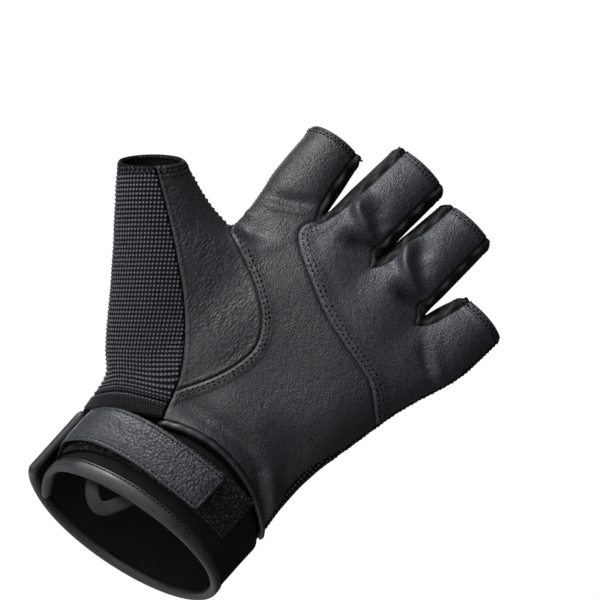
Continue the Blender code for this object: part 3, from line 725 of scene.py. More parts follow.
@dataclass(frozen=True)
class Fold:
    """A crease or ridge of the worn leather, through points in X and Z, in millimetres."""

    points: tuple[Point, ...]
    reach_mm: float
    lift_mm: float

    def height(self, places: np.ndarray) -> np.ndarray:
        """Its height at places in X and Z, in metres."""
        curve = np.array(catmull_rom([Vector(point) * MM for point in self.points], 4))
        signed, foot = measure(places, curve)
        share = np.hypot(*(foot - curve[0]).T) / np.hypot(*(curve[-1] - curve[0]))
        taper = rise(share, -0.25, 0.35) * (1 - rise(share, 0.70, 1.25))
        return self.lift_mm * MM * taper * bell(np.abs(signed), 0.0, self.reach_mm * MM)


# Folds of the palm side, each where the leather bunches as the fingers spread
FOLDS = (
    # Middle finger: bright crescent round its root, and the hollows on both sides of it
    Fold(((-15.4, 144.0), (-15.0, 140.4), (-11.5, 138.0), (-5.7, 136.7)), 2.1, 2.7),
    Fold(((-11.0, 130.2), (-4.5, 131.8), (2.0, 134.8)), 2.4, -3.2),
    Fold(((-9.5, 146.0), (-8.0, 142.5), (-2.5, 140.5)), 3.3, -1.5),
    Fold(((-21.0, 131.5), (-15.0, 133.0), (-9.0, 134.5)), 1.4, 0.5),
    # Ring finger: the same
    Fold(((7.0, 145.5), (7.8, 140.7), (11.4, 135.8), (18.6, 133.0)), 2.1, 2.7),
    Fold(((14.0, 128.6), (21.0, 128.8), (28.6, 130.6)), 2.4, -3.0),
    Fold(((12.5, 147.0), (13.0, 142.0), (18.5, 138.0)), 3.3, -1.5),
    Fold(((2.0, 128.5), (8.0, 131.0), (13.0, 131.5)), 1.5, 0.5),
    # Index finger: fold across its root, and the puckers beside the thumb's crotch
    Fold(((-43.0, 118.6), (-35.0, 122.5), (-27.0, 127.3)), 1.6, 0.8),
    Fold(((-40.5, 122.8), (-33.0, 127.0), (-27.0, 131.5)), 2.4, -1.2),
    Fold(((-46.5, 113.8), (-42.0, 113.2), (-38.5, 115.0)), 1.8, 0.9),
    Fold(((-44.0, 108.2), (-38.0, 109.0), (-32.0, 112.0)), 2.4, -1.1),
    Fold(((-36.0, 104.0), (-31.0, 107.0), (-27.0, 111.5)), 2.0, 0.5),
    # Little finger
    Fold(((32.4, 121.2), (38.0, 116.5), (44.4, 113.0)), 1.8, -1.0),
    Fold(((35.5, 122.8), (41.0, 118.5), (47.0, 115.5)), 2.2, 0.7),
    # Heel of the hand, where the leather is gathered into the roll
    Fold(((-16.0, 50.0), (-4.0, 52.0), (10.0, 53.5), (20.0, 51.0)), 3.2, -2.2),
    Fold(((-10.0, 62.0), (2.0, 64.0), (14.0, 66.0)), 6.0, 0.9),
    Fold(((23.0, 51.5), (30.0, 46.5), (36.0, 38.0)), 2.2, 1.2),
    Fold(((20.5, 48.0), (27.0, 43.5), (32.5, 37.5)), 1.8, -1.2),
    Fold(((27.0, 55.0), (34.0, 49.0), (38.5, 41.0)), 2.0, -0.6),
)


@dataclass
class HandForm:
    """The hand part's smooth form, from the lower edge over the wrist to the finger hems."""

    palm_length: float = 0.130
    root_breadth: float = 0.095
    palm_depth: float = 0.034
    stall_length: float = 0.036
    finger_depth: float = 0.0195
    finger_lean: float = math.radians(16)
    thumb_reach: float = 0.047
    thumb_depth: float = 0.0235
    thumb_lean: float = math.radians(13)
    palm_side: float = 0.0407
    thumb_set: float = 0.1
    valley_depth: float = 0.62
    valley_rise: float = 0.016
    crotch_rise: float = 0.048
    section_power: float = 2.4
    levels: int = 4
    snap: float = 0.00016
    side_step: float = 2 * MM
    sag_reach: float = 9 * MM
    wrist: Wrist = field(default_factory=Wrist)

    columns = 9
    fingers = 4
    valleys = (2, 4, 6)
    thumb_rows = (1, 2, 3, 4, 5)
    thumb_hole = (("front", 1), ("front", 0), "left", ("back", 0), ("back", 1))
    thenar_shares = (1.0, 1.0, 0.5)
    # left_z, right_z, arch, left_x, right_x, middle_y, front, back, thenar
    palm_sections = (
        (0.300, 0.352, 0.000, -0.430, 0.374, -0.03, 0.62, 0.54, 0.06),
        (0.415, 0.460, 0.000, -0.400, 0.378, -0.03, 0.56, 0.44, 0.15),
        (0.546, 0.562, 0.008, -0.400, 0.408, -0.02, 0.51, 0.43, 0.15),
        (0.677, 0.669, 0.023, -0.421, 0.441, 0.02, 0.47, 0.41, 0.09),
        (0.806, 0.765, 0.038, -0.462, 0.472, 0.06, 0.43, 0.40, 0.00),
        (0.915, 0.870, 0.062, -0.474, 0.534, 0.10, 0.36, 0.36, 0.00),
    )
    root_columns = (-0.905, -0.758, -0.516, -0.274, -0.019, 0.242, 0.505, 0.747, 0.926)
    # left_x, left_z, right_x, right_z, depth
    finger_hems = (
        (-0.4885, 0.583, -0.2653, 0.633, 1.00),
        (-0.2074, 0.972, 0.0442, 0.953, 1.03),
        (0.0642, 0.878, 0.3053, 0.869, 1.00),
        (0.3421, 0.306, 0.5611, 0.250, 0.93),
    )
    stall_sections = ((0.34, 1.035), (0.70, 1.015), (1.0, 1.0))
    # outer_x, outer_z, inner_x, inner_z, depth, lean
    thumb_sections = (
        (0.130, 0.330, 0.120, 0.812, 1.45, 0.10),
        (0.345, 0.442, 0.290, 0.818, 1.28, 0.30),
        (0.620, 0.572, 0.450, 0.836, 1.12, 0.55),
        (0.840, 0.668, 0.580, 0.853, 1.04, 0.80),
        (1.000, 0.743, 0.640, 0.862, 1.00, 1.00),
    )
    # Height and how far inside the outline the side seam runs, in millimetres
    side_insets = ((26, 0.8), (44, 1.2), (50, 2.6), (62, 2.8), (73, 1.2), (90, 0.8), (137, 0.9))
    # x, z, reach, depth
    dents = (
        (-0.360, 0.945, 0.075, 0.040), (-0.390, 0.860, 0.060, 0.035),
        (-0.060, 1.005, 0.080, 0.045), (-0.150, 1.085, 0.050, -0.030),
        (0.225, 1.000, 0.070, 0.040), (0.105, 1.060, 0.050, -0.030),
        (0.410, 0.905, 0.065, 0.030), (0.050, 0.600, 0.200, 0.060),
        (-0.150, 0.395, 0.090, 0.035), (0.285, 0.440, 0.120, 0.085),
    )

    def palm_section(self, index: int) -> dict:
        """The places of one palm section's vertices, by name: two sides and two rows."""
        left_z, right_z, arch, left_x, right_x, middle_y, front, back, thenar = (
            self.palm_sections[index])
        blend = index / (len(self.palm_sections) - 1)
        centre = (left_x + right_x) / 2 * self.root_breadth
        half = (right_x - left_x) / 2 * self.root_breadth
        y = middle_y * self.palm_depth

        def height(u: float) -> float:
            level = left_z + (right_z - left_z) * (u + 1) / 2 + arch * (1 - u * u)
            return level * self.palm_length

        places = {"left": Vector((centre - half, y, height(-1))),
                  "right": Vector((centre + half, y, height(1)))}
        for column in range(self.columns):
            even = -math.cos(math.pi * (column + 1) / (self.columns + 1))
            u = even * (1 - blend) + self.root_columns[column] * blend
            full = (1 - abs(u) ** self.section_power) ** (1 / self.section_power)
            lift = 0.0
            if blend == 1 and column in self.valleys:
                full *= self.valley_depth
                lift = self.valley_rise * self.palm_length
            share = self.thenar_shares[column] if column < len(self.thenar_shares) else 0.0
            x, z = centre + half * u, height(u) + lift
            front_y = y - (front * full + thenar * share) * self.palm_depth
            places["front", column] = Vector((x, front_y, z))
            places["back", column] = Vector((x, y + back * full * self.palm_depth, z))
        return places

    def around_palm(self) -> list:
        """The names of a palm section's vertices, from the thumb side over the palm and back."""
        front = [("front", column) for column in range(self.columns)]
        back = [("back", column) for column in reversed(range(self.columns))]
        return ["left", *front, "right", *back]

    def add_palm(self, form: BMesh) -> list[dict]:
        """Extrude the palm's sections up from the lower edge, and open the thumb's hole.

        Returns:
            The sections' vertices, by name.
        """
        names = self.around_palm()
        count = len(names)
        ring = bmesh.ops.create_circle(form, segments=count, radius=1.0)["verts"]
        for index, vert in enumerate(ring):
            vert.co = self.wrist.hem_point(360 * index / count, self.wrist.course[index])
        rows = [dict(zip(names, ring))]
        hollow = []
        for level in range(len(self.palm_sections)):
            places = self.palm_section(level)
            if level == 0:
                for name, place in places.items():
                    low = rows[0][name].co.z + self.wrist.low_section_rise
                    place.z = max(place.z, low)
            ring, faces = extrude_ring(form, ring, [places[name] for name in names])
            rows.append(dict(zip(names, ring)))
            for face, a, b in zip(faces, names, [*names[1:], names[0]]):
                behind = "back" in (a[0], b[0])
                face.material_index = Region.BACK_WEAVE if behind else Region.PALM_LEATHER
                if level in self.thumb_rows[:-1] and a in self.thumb_hole and b in self.thumb_hole:
                    hollow.append(face)
        bmesh.ops.delete(form, geom=hollow, context="FACES")
        return rows

    def rim_of_thumb(self, rows: list[dict]) -> list:
        """The vertices round the thumb's hole, from the crotch over the palm side."""
        high, low = rows[self.thumb_rows[-1]], rows[self.thumb_rows[0]]
        between = [rows[level] for level in self.thumb_rows[1:-1]]
        rim = [high["left"], high["front", 0], high["front", 1]]
        rim += [row["front", 1] for row in reversed(between)]
        rim += [low["front", 1], low["front", 0], low["left"], low["back", 0], low["back", 1]]
        rim += [row["back", 1] for row in between]
        return rim + [high["back", 1], high["back", 0]]

    @staticmethod
    def oval(centre: Vector, across: Vector, side: Vector, count: int) -> list[Vector]:
        """Cage points whose smooth curve is the oval with the two given half axes."""
        shrink = (4 + 2 * math.cos(math.tau / count)) / 6
        turns = [math.tau * step / count for step in range(count)]
        return [centre + (across * math.cos(turn) + side * math.sin(turn)) / shrink
                for turn in turns]

    def add_thumb(self, form: BMesh, ring: list) -> None:
        """Extrude the thumb from its hole to its hem."""
        count = len(ring)
        for outer_x, outer_z, inner_x, inner_z, depth, lean in self.thumb_sections:
            outer = Vector((-self.palm_side - outer_x * self.thumb_reach, 0,
                            outer_z * self.palm_length))
            inner = Vector((-self.palm_side - inner_x * self.thumb_reach, 0,
                            inner_z * self.palm_length))
            centre = (outer + inner) / 2
            centre.y = self.thumb_middle(outer_x)
            across = (inner - outer) / 2
            axis = Vector((0, 1, 0)).cross(across).normalized()
            tilt = self.thumb_lean * lean
            front = Vector((0, -math.cos(tilt), 0)) + axis * math.sin(tilt)
            points = self.oval(centre, across, front * depth * self.thumb_depth / 2, count)
            ring, faces = extrude_ring(form, ring, points)
            for step, face in enumerate(faces):
                palm_side = step < count // 2
                face.material_index = Region.PALM_LEATHER if palm_side else Region.THUMB_WEAVE

    def thumb_middle(self, outer_x: float) -> float:
        """Y of the thumb's middle where its outer edge has gone this share outwards."""
        return (-self.thumb_reach * outer_x * math.tan(self.thumb_lean)
                - self.thumb_set * self.thumb_depth)

    def stall_region(self, finger: int, step: int) -> Region:
        """The panel of one of the eight sides of a finger stall."""
        if step in (0, 7) and finger > 0:
            return Region(Region.FOURCHETTE_1 + finger - 1)
        if step in (3, 4) and finger < self.fingers - 1:
            return Region(Region.FOURCHETTE_1 + finger)
        return Region.PALM_LEATHER if step < 4 else Region.BACK_WEAVE

    def add_stall(self, form: BMesh, finger: int, ring: list) -> None:
        """Extrude one finger stall from its eight root vertices to its hem."""
        left_x, left_z, right_x, right_z, depth = self.finger_hems[finger]
        hem_left = Vector((left_x * self.root_breadth, 0,
                           self.palm_length + left_z * self.stall_length))
        hem_right = Vector((right_x * self.root_breadth, 0,
                            self.palm_length + right_z * self.stall_length))
        root_left, root_right = ring[0].co.copy(), ring[4].co.copy()
        for corner in (root_left, root_right):
            corner.z = min(corner.z, self.palm_length)
        for share, fullness in self.stall_sections:
            low = root_left.lerp(hem_left, share)
            high = root_right.lerp(hem_right, share)
            centre = (low + high) / 2
            lift = centre.z - (root_left.z + root_right.z) / 2
            centre.y = root_left.y + lift * math.tan(self.finger_lean)
            across = (low - high) / 2 * fullness
            across.y = 0
            axis = Vector((0, 1, 0)).cross(across).normalized()
            front = (Vector((0, -math.cos(self.finger_lean), 0))
                     + axis * math.sin(self.finger_lean))
            points = self.oval(centre, across, front * self.finger_depth * depth / 2 * fullness,
                               len(ring))
            ring, faces = extrude_ring(form, ring, points)
            for step, face in enumerate(faces):
                face.material_index = self.stall_region(finger, step)

    def cage(self) -> BMesh:
        """The coarse cage of the whole form, each face marked with its region."""
        form = bmesh.new()
        rows = self.add_palm(form)
        self.add_thumb(form, self.rim_of_thumb(rows))
        top = rows[-1]
        webs = {}
        for column in self.valleys:
            front, back = top["front", column], top["back", column]
            place = (front.co + back.co) / 2
            place.z += (self.crotch_rise - self.valley_rise) * self.palm_length
            webs[column] = bmesh.ops.create_vert(form, co=place)["vert"][0]
            for vert in (front, back):
                form.edges.new((webs[column], vert))
        for finger in range(self.fingers):
            first = 2 * finger
            left, right = webs.get(first, top["left"]), webs.get(first + 2, top["right"])
            root = [left, *[top["front", first + step] for step in range(3)], right,
                    *[top["back", first + step] for step in (2, 1, 0)]]
            self.add_stall(form, finger, root)
        bmesh.ops.recalc_face_normals(form, faces=form.faces[:])
        form.normal_update()
        if min(form.verts, key=lambda vert: vert.co.y).normal.y > 0:
            bmesh.ops.reverse_faces(form, faces=form.faces[:])
        return form

    def smooth(self) -> BMesh:
        """The cage under a Subdivision Surface, read back as a fine mesh."""
        cage = self.cage()
        mesh = bpy.data.meshes.new("form")
        cage.to_mesh(mesh)
        cage.free()
        for _ in Region:
            mesh.materials.append(None)
        guide = bpy.data.objects.new("form", mesh)
        bpy.context.scene.collection.objects.link(guide)
        rounding = guide.modifiers.new("round", "SUBSURF")
        rounding.levels = rounding.render_levels = self.levels
        bpy.context.view_layer.update()
        shown = guide.evaluated_get(bpy.context.evaluated_depsgraph_get())
        fine = bpy.data.meshes.new_from_object(shown)
        form = bmesh.new()
        form.from_mesh(fine)
        bpy.data.objects.remove(guide)
        bpy.data.meshes.remove(mesh)
        bpy.data.meshes.remove(fine)
        form.normal_update()
        return form

    def press(self, form: BMesh) -> None:
        """Press the broad dents and lift the folds of the worn palm side."""
        places, normals = read_points(form)
        flat = places[:, (0, 2)]
        facing = np.maximum(-normals[:, 1], 0.0)
        shift = np.zeros(len(places))
        for x, z, reach, depth in self.dents:
            away = np.hypot(flat[:, 0] - x * self.root_breadth, flat[:, 1] - z * self.palm_length)
            shift += bell(away, 0.0, reach * self.root_breadth) * depth * self.palm_depth
        places[:, 1] += facing * shift
        near_hem = 1 - rise(self.wrist.above_hem(places), 0.0, self.sag_reach)
        places[:, 2] -= self.wrist.hem_sag(self.wrist.turns_of(places)) * near_hem
        creases = np.zeros(len(places))
        for fold in FOLDS:
            creases += fold.height(flat)
        places += normals * (creases * rise(facing, 0.05, 0.55))[:, None]
        write_points(form, places)

    def cut(self, form: BMesh, line: np.ndarray, region: Region, left: Region,
            right: Region) -> None:
        """Cut one region along a line in X and Z, and mark what lies on each side of it.

        Args:
            form: the whole form.
            line: the line's points.
            region: whose faces are cut.
            left: what they become on the line's left.
            right: what they become on its right.
        """
        faces = [face for face in form.faces if face.material_index == region]
        verts = list(dict.fromkeys(vert for face in faces for vert in face.verts))
        flat = np.array([(vert.co.x, vert.co.z) for vert in verts])
        signed, foot = measure(flat, line)
        side = {}
        for vert, distance, spot in zip(verts, signed, foot):
            if abs(distance) < self.snap:
                vert.co.x, vert.co.z = spot
                distance = 0.0
            side[vert] = distance
        for edge in list(dict.fromkeys(edge for face in faces for edge in face.edges)):
            a, b = edge.verts
            if side[a] * side[b] < 0:
                share = side[a] / (side[a] - side[b])
                side[bmesh.utils.edge_split(edge, a, share)[1]] = 0.0
        for face in faces:
            on = [vert for vert in face.verts if side[vert] == 0]
            both = min(side[v] for v in face.verts) < 0 < max(side[v] for v in face.verts)
            if both and len(on) > 1:
                bmesh.utils.face_split(face, on[0], on[-1])
        for face in form.faces:
            if face.material_index == region:
                total = sum(side[vert] for vert in face.verts)
                face.material_index = left if total > 0 else right

    def hem_level(self) -> float:
        """A height that parts the hems of fingers and thumb from the lower edge."""
        return self.palm_length * 0.55

    def side_line(self, form: BMesh) -> np.ndarray:
        """The line inside the little finger's side where the back's knit comes round."""
        places = read_points(form)[0]
        heights, insets = np.array(self.side_insets).T * MM
        line = []
        for level in np.arange(heights[0], heights[-1], self.side_step):
            near = np.abs(places[:, 2] - level) < 0.65 * self.side_step
            side = places[near, 0].max() - np.interp(level, heights, insets)
            line.append((side, level))
        below = (line[0][0], line[0][1] - 10 * self.side_step)
        above = (line[-1][0] + self.side_step, line[-1][1] + 5 * self.side_step)
        return np.array([below, *line, above])

    def build(self) -> BMesh:
        """The whole form, folded, cut and with the relief of its seams."""
        form = self.smooth()
        self.press(form)
        side = self.side_line(form)
        palm, fingers = Region.PALM_LEATHER, Region.FINGER_LEATHER
        cuts = ((WEAVE_SEAM.line(self), palm, palm, Region.THUMB_WEAVE),
                (PATCH_SEAM.line(self), palm, palm, Region.THUMB_LEATHER),
                (PALM_SEAM.line(self), palm, fingers, palm),
                (side, palm, palm, Region.BACK_WEAVE),
                (side, fingers, fingers, Region.BACK_WEAVE))
        for line, region, left, right in cuts:
            self.cut(form, line, region, left, right)
        form.normal_update()
        SeamRelief(self).apply(form)
        return form


def read_points(form: BMesh) -> tuple[np.ndarray, np.ndarray]:
    """The places and normals of a mesh's vertices."""
    places = np.array([vert.co[:] for vert in form.verts])
    return places, np.array([vert.normal[:] for vert in form.verts])


def write_points(form: BMesh, places: np.ndarray) -> None:
    """Put a mesh's vertices in new places."""
    for vert, place in zip(form.verts, places):
        vert.co = place
    form.normal_update()


def distances(places: np.ndarray, edges: Sequence[BMEdge]) -> np.ndarray:
    """How far places lie from a set of edges, read at the edges' ends and middles."""
    spots = [vert.co for edge in edges for vert in edge.verts]
    spots += [(edge.verts[0].co + edge.verts[1].co) / 2 for edge in edges]
    tree = KDTree(len(spots))
    for index, spot in enumerate(spots):
        tree.insert(spot, index)
    tree.balance()
    return np.array([tree.find(place)[2] for place in places])


@dataclass
class SeamRelief:
    """The heights that sewing gives the panels: grooves, folded edges, turned hems."""

    hand: HandForm
    groove_mm: float = 0.42
    groove_reach_mm: float = 0.60
    # Soft lip beside each groove
    lip_mm: float = 0.12
    lip_at_mm: float = 1.1
    lip_reach_mm: float = 0.45
    # Topstitched edges, and the rows pulled into them
    fold_mm: float = 0.38
    row_mm: float = 0.16
    row_reach_mm: float = 0.40
    # Folded edges of the thumb's leather
    leaf_mm: float = 0.34
    leaf_at_mm: float = 0.75
    leaf_reach_mm: float = 0.45
    # Turned hems of the leather
    hem_mm: float = 0.28
    hem_width_mm: float = 4.0
    hem_rows_mm: tuple[float, float] = (1.4, 2.8)
    hem_row_reach_mm: float = 0.38
    hem_round_mm: float = 0.35
    # Side strips, which ruffle between their seams
    strip_mm: float = 0.75
    strip_flare_mm: float = 0.8
    unrest_mm: float = 0.10

    def apply(self, form: BMesh) -> None:
        """Raise and sink the form's vertices along their normals."""
        places, normals = read_points(form)
        sewn = [edge for edge in form.edges if len(edge.link_faces) == 2
                and edge.link_faces[0].material_index != edge.link_faces[1].material_index]
        low = self.hand.hem_level()
        hems = [edge for edge in form.edges if edge.is_boundary and edge.verts[0].co.z > low]
        to_seam, to_hem = distances(places, sewn), distances(places, hems)
        height = -self.groove_mm * MM * bell(to_seam, 0.0, self.groove_reach_mm * MM)
        height += self.lip_mm * MM * bell(to_seam, self.lip_at_mm * MM, self.lip_reach_mm * MM)
        regions = self.regions(form)
        self.add_folds(height, places[:, (0, 2)], rise(-normals[:, 1], -0.2, 0.3), regions)
        self.add_hems(height, to_hem, regions)

        strips = sum(regions[r] for r in Region if r >= Region.FOURCHETTE_1) > 0
        wave = np.sin(places[:, 2] / (1.35 * MM) + places[:, 0] / (2.5 * MM))
        bulge = self.strip_mm * (0.8 + 0.9 * wave) * bell(to_seam, 1.5 * MM, 1.2 * MM)
        flare = bell(to_hem, 0.8 * MM, 1.8 * MM) * bell(to_seam, 1.4 * MM, 1.4 * MM)
        height += (bulge + self.strip_flare_mm * flare) * MM * strips
        height += self.unrest_mm * MM * self.unrest(places)
        write_points(form, places + normals * height[:, None])

    def add_folds(self, height: np.ndarray, flat: np.ndarray, palm_side: np.ndarray,
                  regions: dict[Region, np.ndarray]) -> None:
        """Raise the folded edges along the seams of the palm side.

        Args:
            height: of each vertex, changed in place.
            flat: the vertices in X and Z.
            palm_side: 1 where the form faces the palm side, and less round its edge.
            regions: the marks of each panel's vertices.
        """
        for seam, here in ((PATCH_SEAM, Region.PALM_LEATHER), (PALM_SEAM, Region.FINGER_LEATHER)):
            signed = measure(flat, seam.line(self.hand))[0]
            inside = rise(signed, 0.05 * MM, 0.75 * MM)
            inside *= 1 - rise(signed, (seam.raised_mm - 0.3) * MM, (seam.raised_mm + 1.1) * MM)
            ridge = self.fold_mm * MM * inside
            for row in seam.rows_mm:
                ridge -= self.row_mm * MM * bell(signed, row * MM, self.row_reach_mm * MM)
            height += ridge * palm_side * (regions[here] > 0) * (signed > 0)
        leather = regions[Region.THUMB_LEATHER] > 0
        for seam, side in ((WEAVE_SEAM, 1), (PATCH_SEAM, -1)):
            signed = measure(flat, seam.line(self.hand))[0] * side
            leaf = self.leaf_mm * MM * bell(signed, self.leaf_at_mm * MM, self.leaf_reach_mm * MM)
            height += leaf * palm_side * leather

    def add_hems(self, height: np.ndarray, to_hem: np.ndarray,
                 regions: dict[Region, np.ndarray]) -> None:
        """Raise the turned hems of the leather, with their rows, and round every open edge."""
        leather = (regions[Region.PALM_LEATHER] + regions[Region.FINGER_LEATHER]
                   + regions[Region.THUMB_LEATHER]) > 0
        turned = self.hem_mm * MM * (1 - rise(to_hem, (self.hem_width_mm - 0.4) * MM,
                                              (self.hem_width_mm + 0.9) * MM))
        for row in self.hem_rows_mm:
            turned -= self.row_mm * MM * bell(to_hem, row * MM, self.hem_row_reach_mm * MM)
        height += turned * leather
        height -= self.hem_round_mm * MM * bell(to_hem, 0.0, 0.45 * MM)

    @staticmethod
    def regions(form: BMesh) -> dict[Region, np.ndarray]:
        """For each region, 1 at the vertices that only its faces use."""
        form.verts.index_update()
        marks = {region: np.zeros(len(form.verts)) for region in Region}
        for vert in form.verts:
            found = {face.material_index for face in vert.link_faces}
            if len(found) == 1:
                marks[Region(found.pop())][vert.index] = 1.0
        return marks

    @staticmethod
    def unrest(places: np.ndarray) -> np.ndarray:
        """Slow random swells, from -1 to 1, as in worn leather."""
        return np.array([noise.noise(Vector(place) / (7 * MM)) for place in places])


# Panels of the hand part


@dataclass
class RibMap:
    """Where the ribs and beads of the thumb's stretch panel lie: rows across the thumb, and
    columns along it that keep their spacing round its side."""

    hand: HandForm
    pitch_mm: float = 1.50
    bead_mm: float = 1.33
    height_mm: float = 0.42
    swing: float = 0.75
    rib_share: float = 0.58
    bead_share: float = 0.62
    tilt_degrees: float = 42.0
    # Gathers over the cuff
    fold_mm: float = 0.50
    fold_at_mm: float = 7.0
    fold_pitch_mm: float = 2.2
    # Knitted band at the lower edge, with upright ribs
    band_mm: float = 5.6
    band_rib_mm: float = 0.95
    band_raised_mm: float = 0.35
    band_groove_mm: float = 0.55
    hem_mm: float = 5.0

    def round_thumb(self, places: np.ndarray) -> tuple[np.ndarray, np.ndarray, np.ndarray]:
        """The panel laid flat round the thumb.

        Returns:
            Distances round the thumb from its outer edge, distances along it, and whether a
            place lies on the palm side.
        """
        hand, tilt = self.hand, math.radians(self.tilt_degrees)
        across = np.array((math.cos(tilt), math.sin(tilt)))
        along = np.array((-math.sin(tilt), math.cos(tilt)))
        flat = places[:, (0, 2)]
        c, u = flat @ across, flat @ along
        sections = np.array(hand.thumb_sections)
        outer = np.stack((-hand.palm_side - sections[:, 0] * hand.thumb_reach,
                          sections[:, 1] * hand.palm_length), axis=1)
        middle = np.array([hand.thumb_middle(share) for share in sections[:, 0]])
        rows_u, rows_c = outer @ along, outer @ across
        from_edge = c - np.interp(u, rows_u, rows_c)
        side_y = places[:, 1] - np.interp(u, rows_u, middle)
        radius = np.interp(u, rows_u, sections[:, 4] * hand.thumb_depth / 2)
        angle = np.arctan2(np.abs(side_y), np.maximum(radius - from_edge, 1e-6))
        v = np.where(from_edge < radius, radius * angle, radius * math.pi / 2 + from_edge - radius)
        return v * np.where(side_y < 0, 1.0, -1.0), u, side_y < 0

    def crown(self, places: np.ndarray) -> tuple[np.ndarray, np.ndarray]:
        """The weave at the panel's vertices.

        Returns:
            The beads' height from 0 to 1, and the whole relief in metres.
        """
        v, u, palm_side = self.round_thumb(places)
        above = self.hand.wrist.above_hem(places)
        front = (above > 4 * MM) & (above < 10 * MM) & palm_side
        low = 1 - rise(above, 4 * MM, 20 * MM)
        rows = (u - np.median((u - above)[front])) * (1 - low) + above * low
        ribs = rows - 0.35 * np.maximum(9 * MM - rows, 0)
        phase = math.tau / (self.pitch_mm * MM)
        bead = np.clip(self.bead_share
                       + self.swing * np.cos(math.tau * v / (self.bead_mm * MM)), 0, 1)
        rib = np.clip(self.rib_share + self.swing * np.cos(phase * ribs), 0, 1)
        crown = rib * (0.30 + 0.70 * bead)
        gather = bell(rows, self.fold_at_mm * MM, self.fold_pitch_mm * MM)
        gather = gather * ripple(rows, self.fold_pitch_mm)
        band = 1 - rise(rows, (self.band_mm - 0.5) * MM, (self.band_mm + 0.3) * MM)
        upright = 0.10 + 0.42 * ripple(v, self.band_rib_mm)
        crown = crown * (1 - 0.45 * gather) * (1 - band) + upright * band
        top = np.max(u[palm_side])
        hem = rise(u, top - self.hem_mm * MM, top - (self.hem_mm - 0.5) * MM)
        speck = np.clip(np.sin(v / (0.31 * MM)) * np.sin(u / (0.23 * MM)), 0, 1)
        crown = crown * (1 - 0.6 * hem) + 0.5 * hem * speck
        height = self.height_mm * crown * (1 - 0.65 * band) + self.fold_mm * gather
        groove = bell(rows, (self.band_mm + 0.3) * MM, 0.5 * MM)
        height += self.band_raised_mm * band - self.band_groove_mm * groove
        return np.clip(crown, 0, 1), height * MM


@dataclass
class BackRibs:
    """The plain ribs of the back's stretch panel, across the hand."""

    pitch_mm: float = 1.50
    bead_mm: float = 1.33
    height_mm: float = 0.34

    def crown(self, places: np.ndarray) -> tuple[np.ndarray, np.ndarray]:
        """The weave at the panel's vertices, as its height from 0 to 1 and in metres."""
        rib, bead = ripple(places[:, 2], self.pitch_mm), ripple(places[:, 0], self.bead_mm)
        crown = rib ** 0.8 * (0.45 + 0.55 * bead)
        return crown, self.height_mm * MM * crown


@dataclass
class Panel:
    """One sewn panel: cut out of the form, given its wall and dressed. It has its region's
    name, and where fine_within is set, its relief stays this near its edges."""

    region: Region
    wall: float
    outer: Material
    inner: Material
    weave: RibMap | BackRibs | None = None
    fine_within: float | None = None
    slot: str = ""
    gap: float = 0.00012

    def cut_out(self, form: BMesh) -> BMesh:
        """This panel's faces alone, drawn back a little from its seams."""
        panel = form.copy()
        panel.normal_update()
        outs = {vert: vert.normal.copy() for vert in panel.verts}
        others = [face for face in panel.faces if face.material_index != self.region]
        sewn = {vert for vert in panel.verts
                if len({face.material_index for face in vert.link_faces}) > 1}
        bmesh.ops.delete(panel, geom=others, context="FACES")
        shifts = {}
        for vert in panel.verts:
            inner = [edge.other_vert(vert).co for edge in vert.link_edges
                     if not edge.is_boundary] if vert in sewn else []
            if inner:
                away = sum((co - vert.co for co in inner), Vector()).normalized()
                shifts[vert] = away * self.gap
        for vert, shift in shifts.items():
            vert.co += shift
        self.outs = {vert: outs[vert] for vert in panel.verts}
        for face in panel.faces:
            face.material_index = 0
        return panel

    def raise_weave(self, panel: BMesh, outer: list) -> None:
        """Refine the outer side, and raise the beads on it."""
        chosen = outer
        if self.fine_within is not None:
            rim = [edge for edge in panel.edges if not edge.smooth]
            spots = np.array([face.calc_center_median()[:] for face in outer])
            near = distances(spots, rim) < self.fine_within
            chosen = [face for face, close in zip(outer, near) if close]
        edges = list(dict.fromkeys(edge for face in chosen for edge in face.edges))
        bmesh.ops.subdivide_edges(panel, edges=edges, cuts=1, use_grid_fill=True)
        panel.normal_update()
        # crown: the bead height from 0 to 1, which the finishes paint as a highlight on the tops
        # and shade between
        layer = panel.verts.layers.float.new("crown")
        outside = [vert for vert in panel.verts
                   if any(face.material_index == 0 for face in vert.link_faces)]
        places = np.array([vert.co[:] for vert in outside])
        crown, height = self.weave.crown(places)
        rims = [edge for edge in panel.edges if not edge.smooth]
        away = distances(places, rims)
        fade = rise(away, 0.0, 1.0 * MM)
        if self.fine_within is not None:
            fade *= 1 - rise(away, self.fine_within - 3 * MM, self.fine_within - 1 * MM)
        for vert, top, lift, share in zip(outside, crown, height, fade):
            vert[layer] = float(top * (0.3 + 0.7 * share))
            vert.co += vert.normal * float(lift) * float(share)

    def build(self, form: BMesh) -> None:
        """Cut, thicken and finish the panel."""
        panel = self.cut_out(form)
        outer = thicken(panel, self.wall, self.outs)
        if self.weave is not None:
            self.raise_weave(panel, outer)
        name = self.region.name.lower()
        finished(name, panel, self.slot or name, name, self.outer, self.inner)


# Stitching


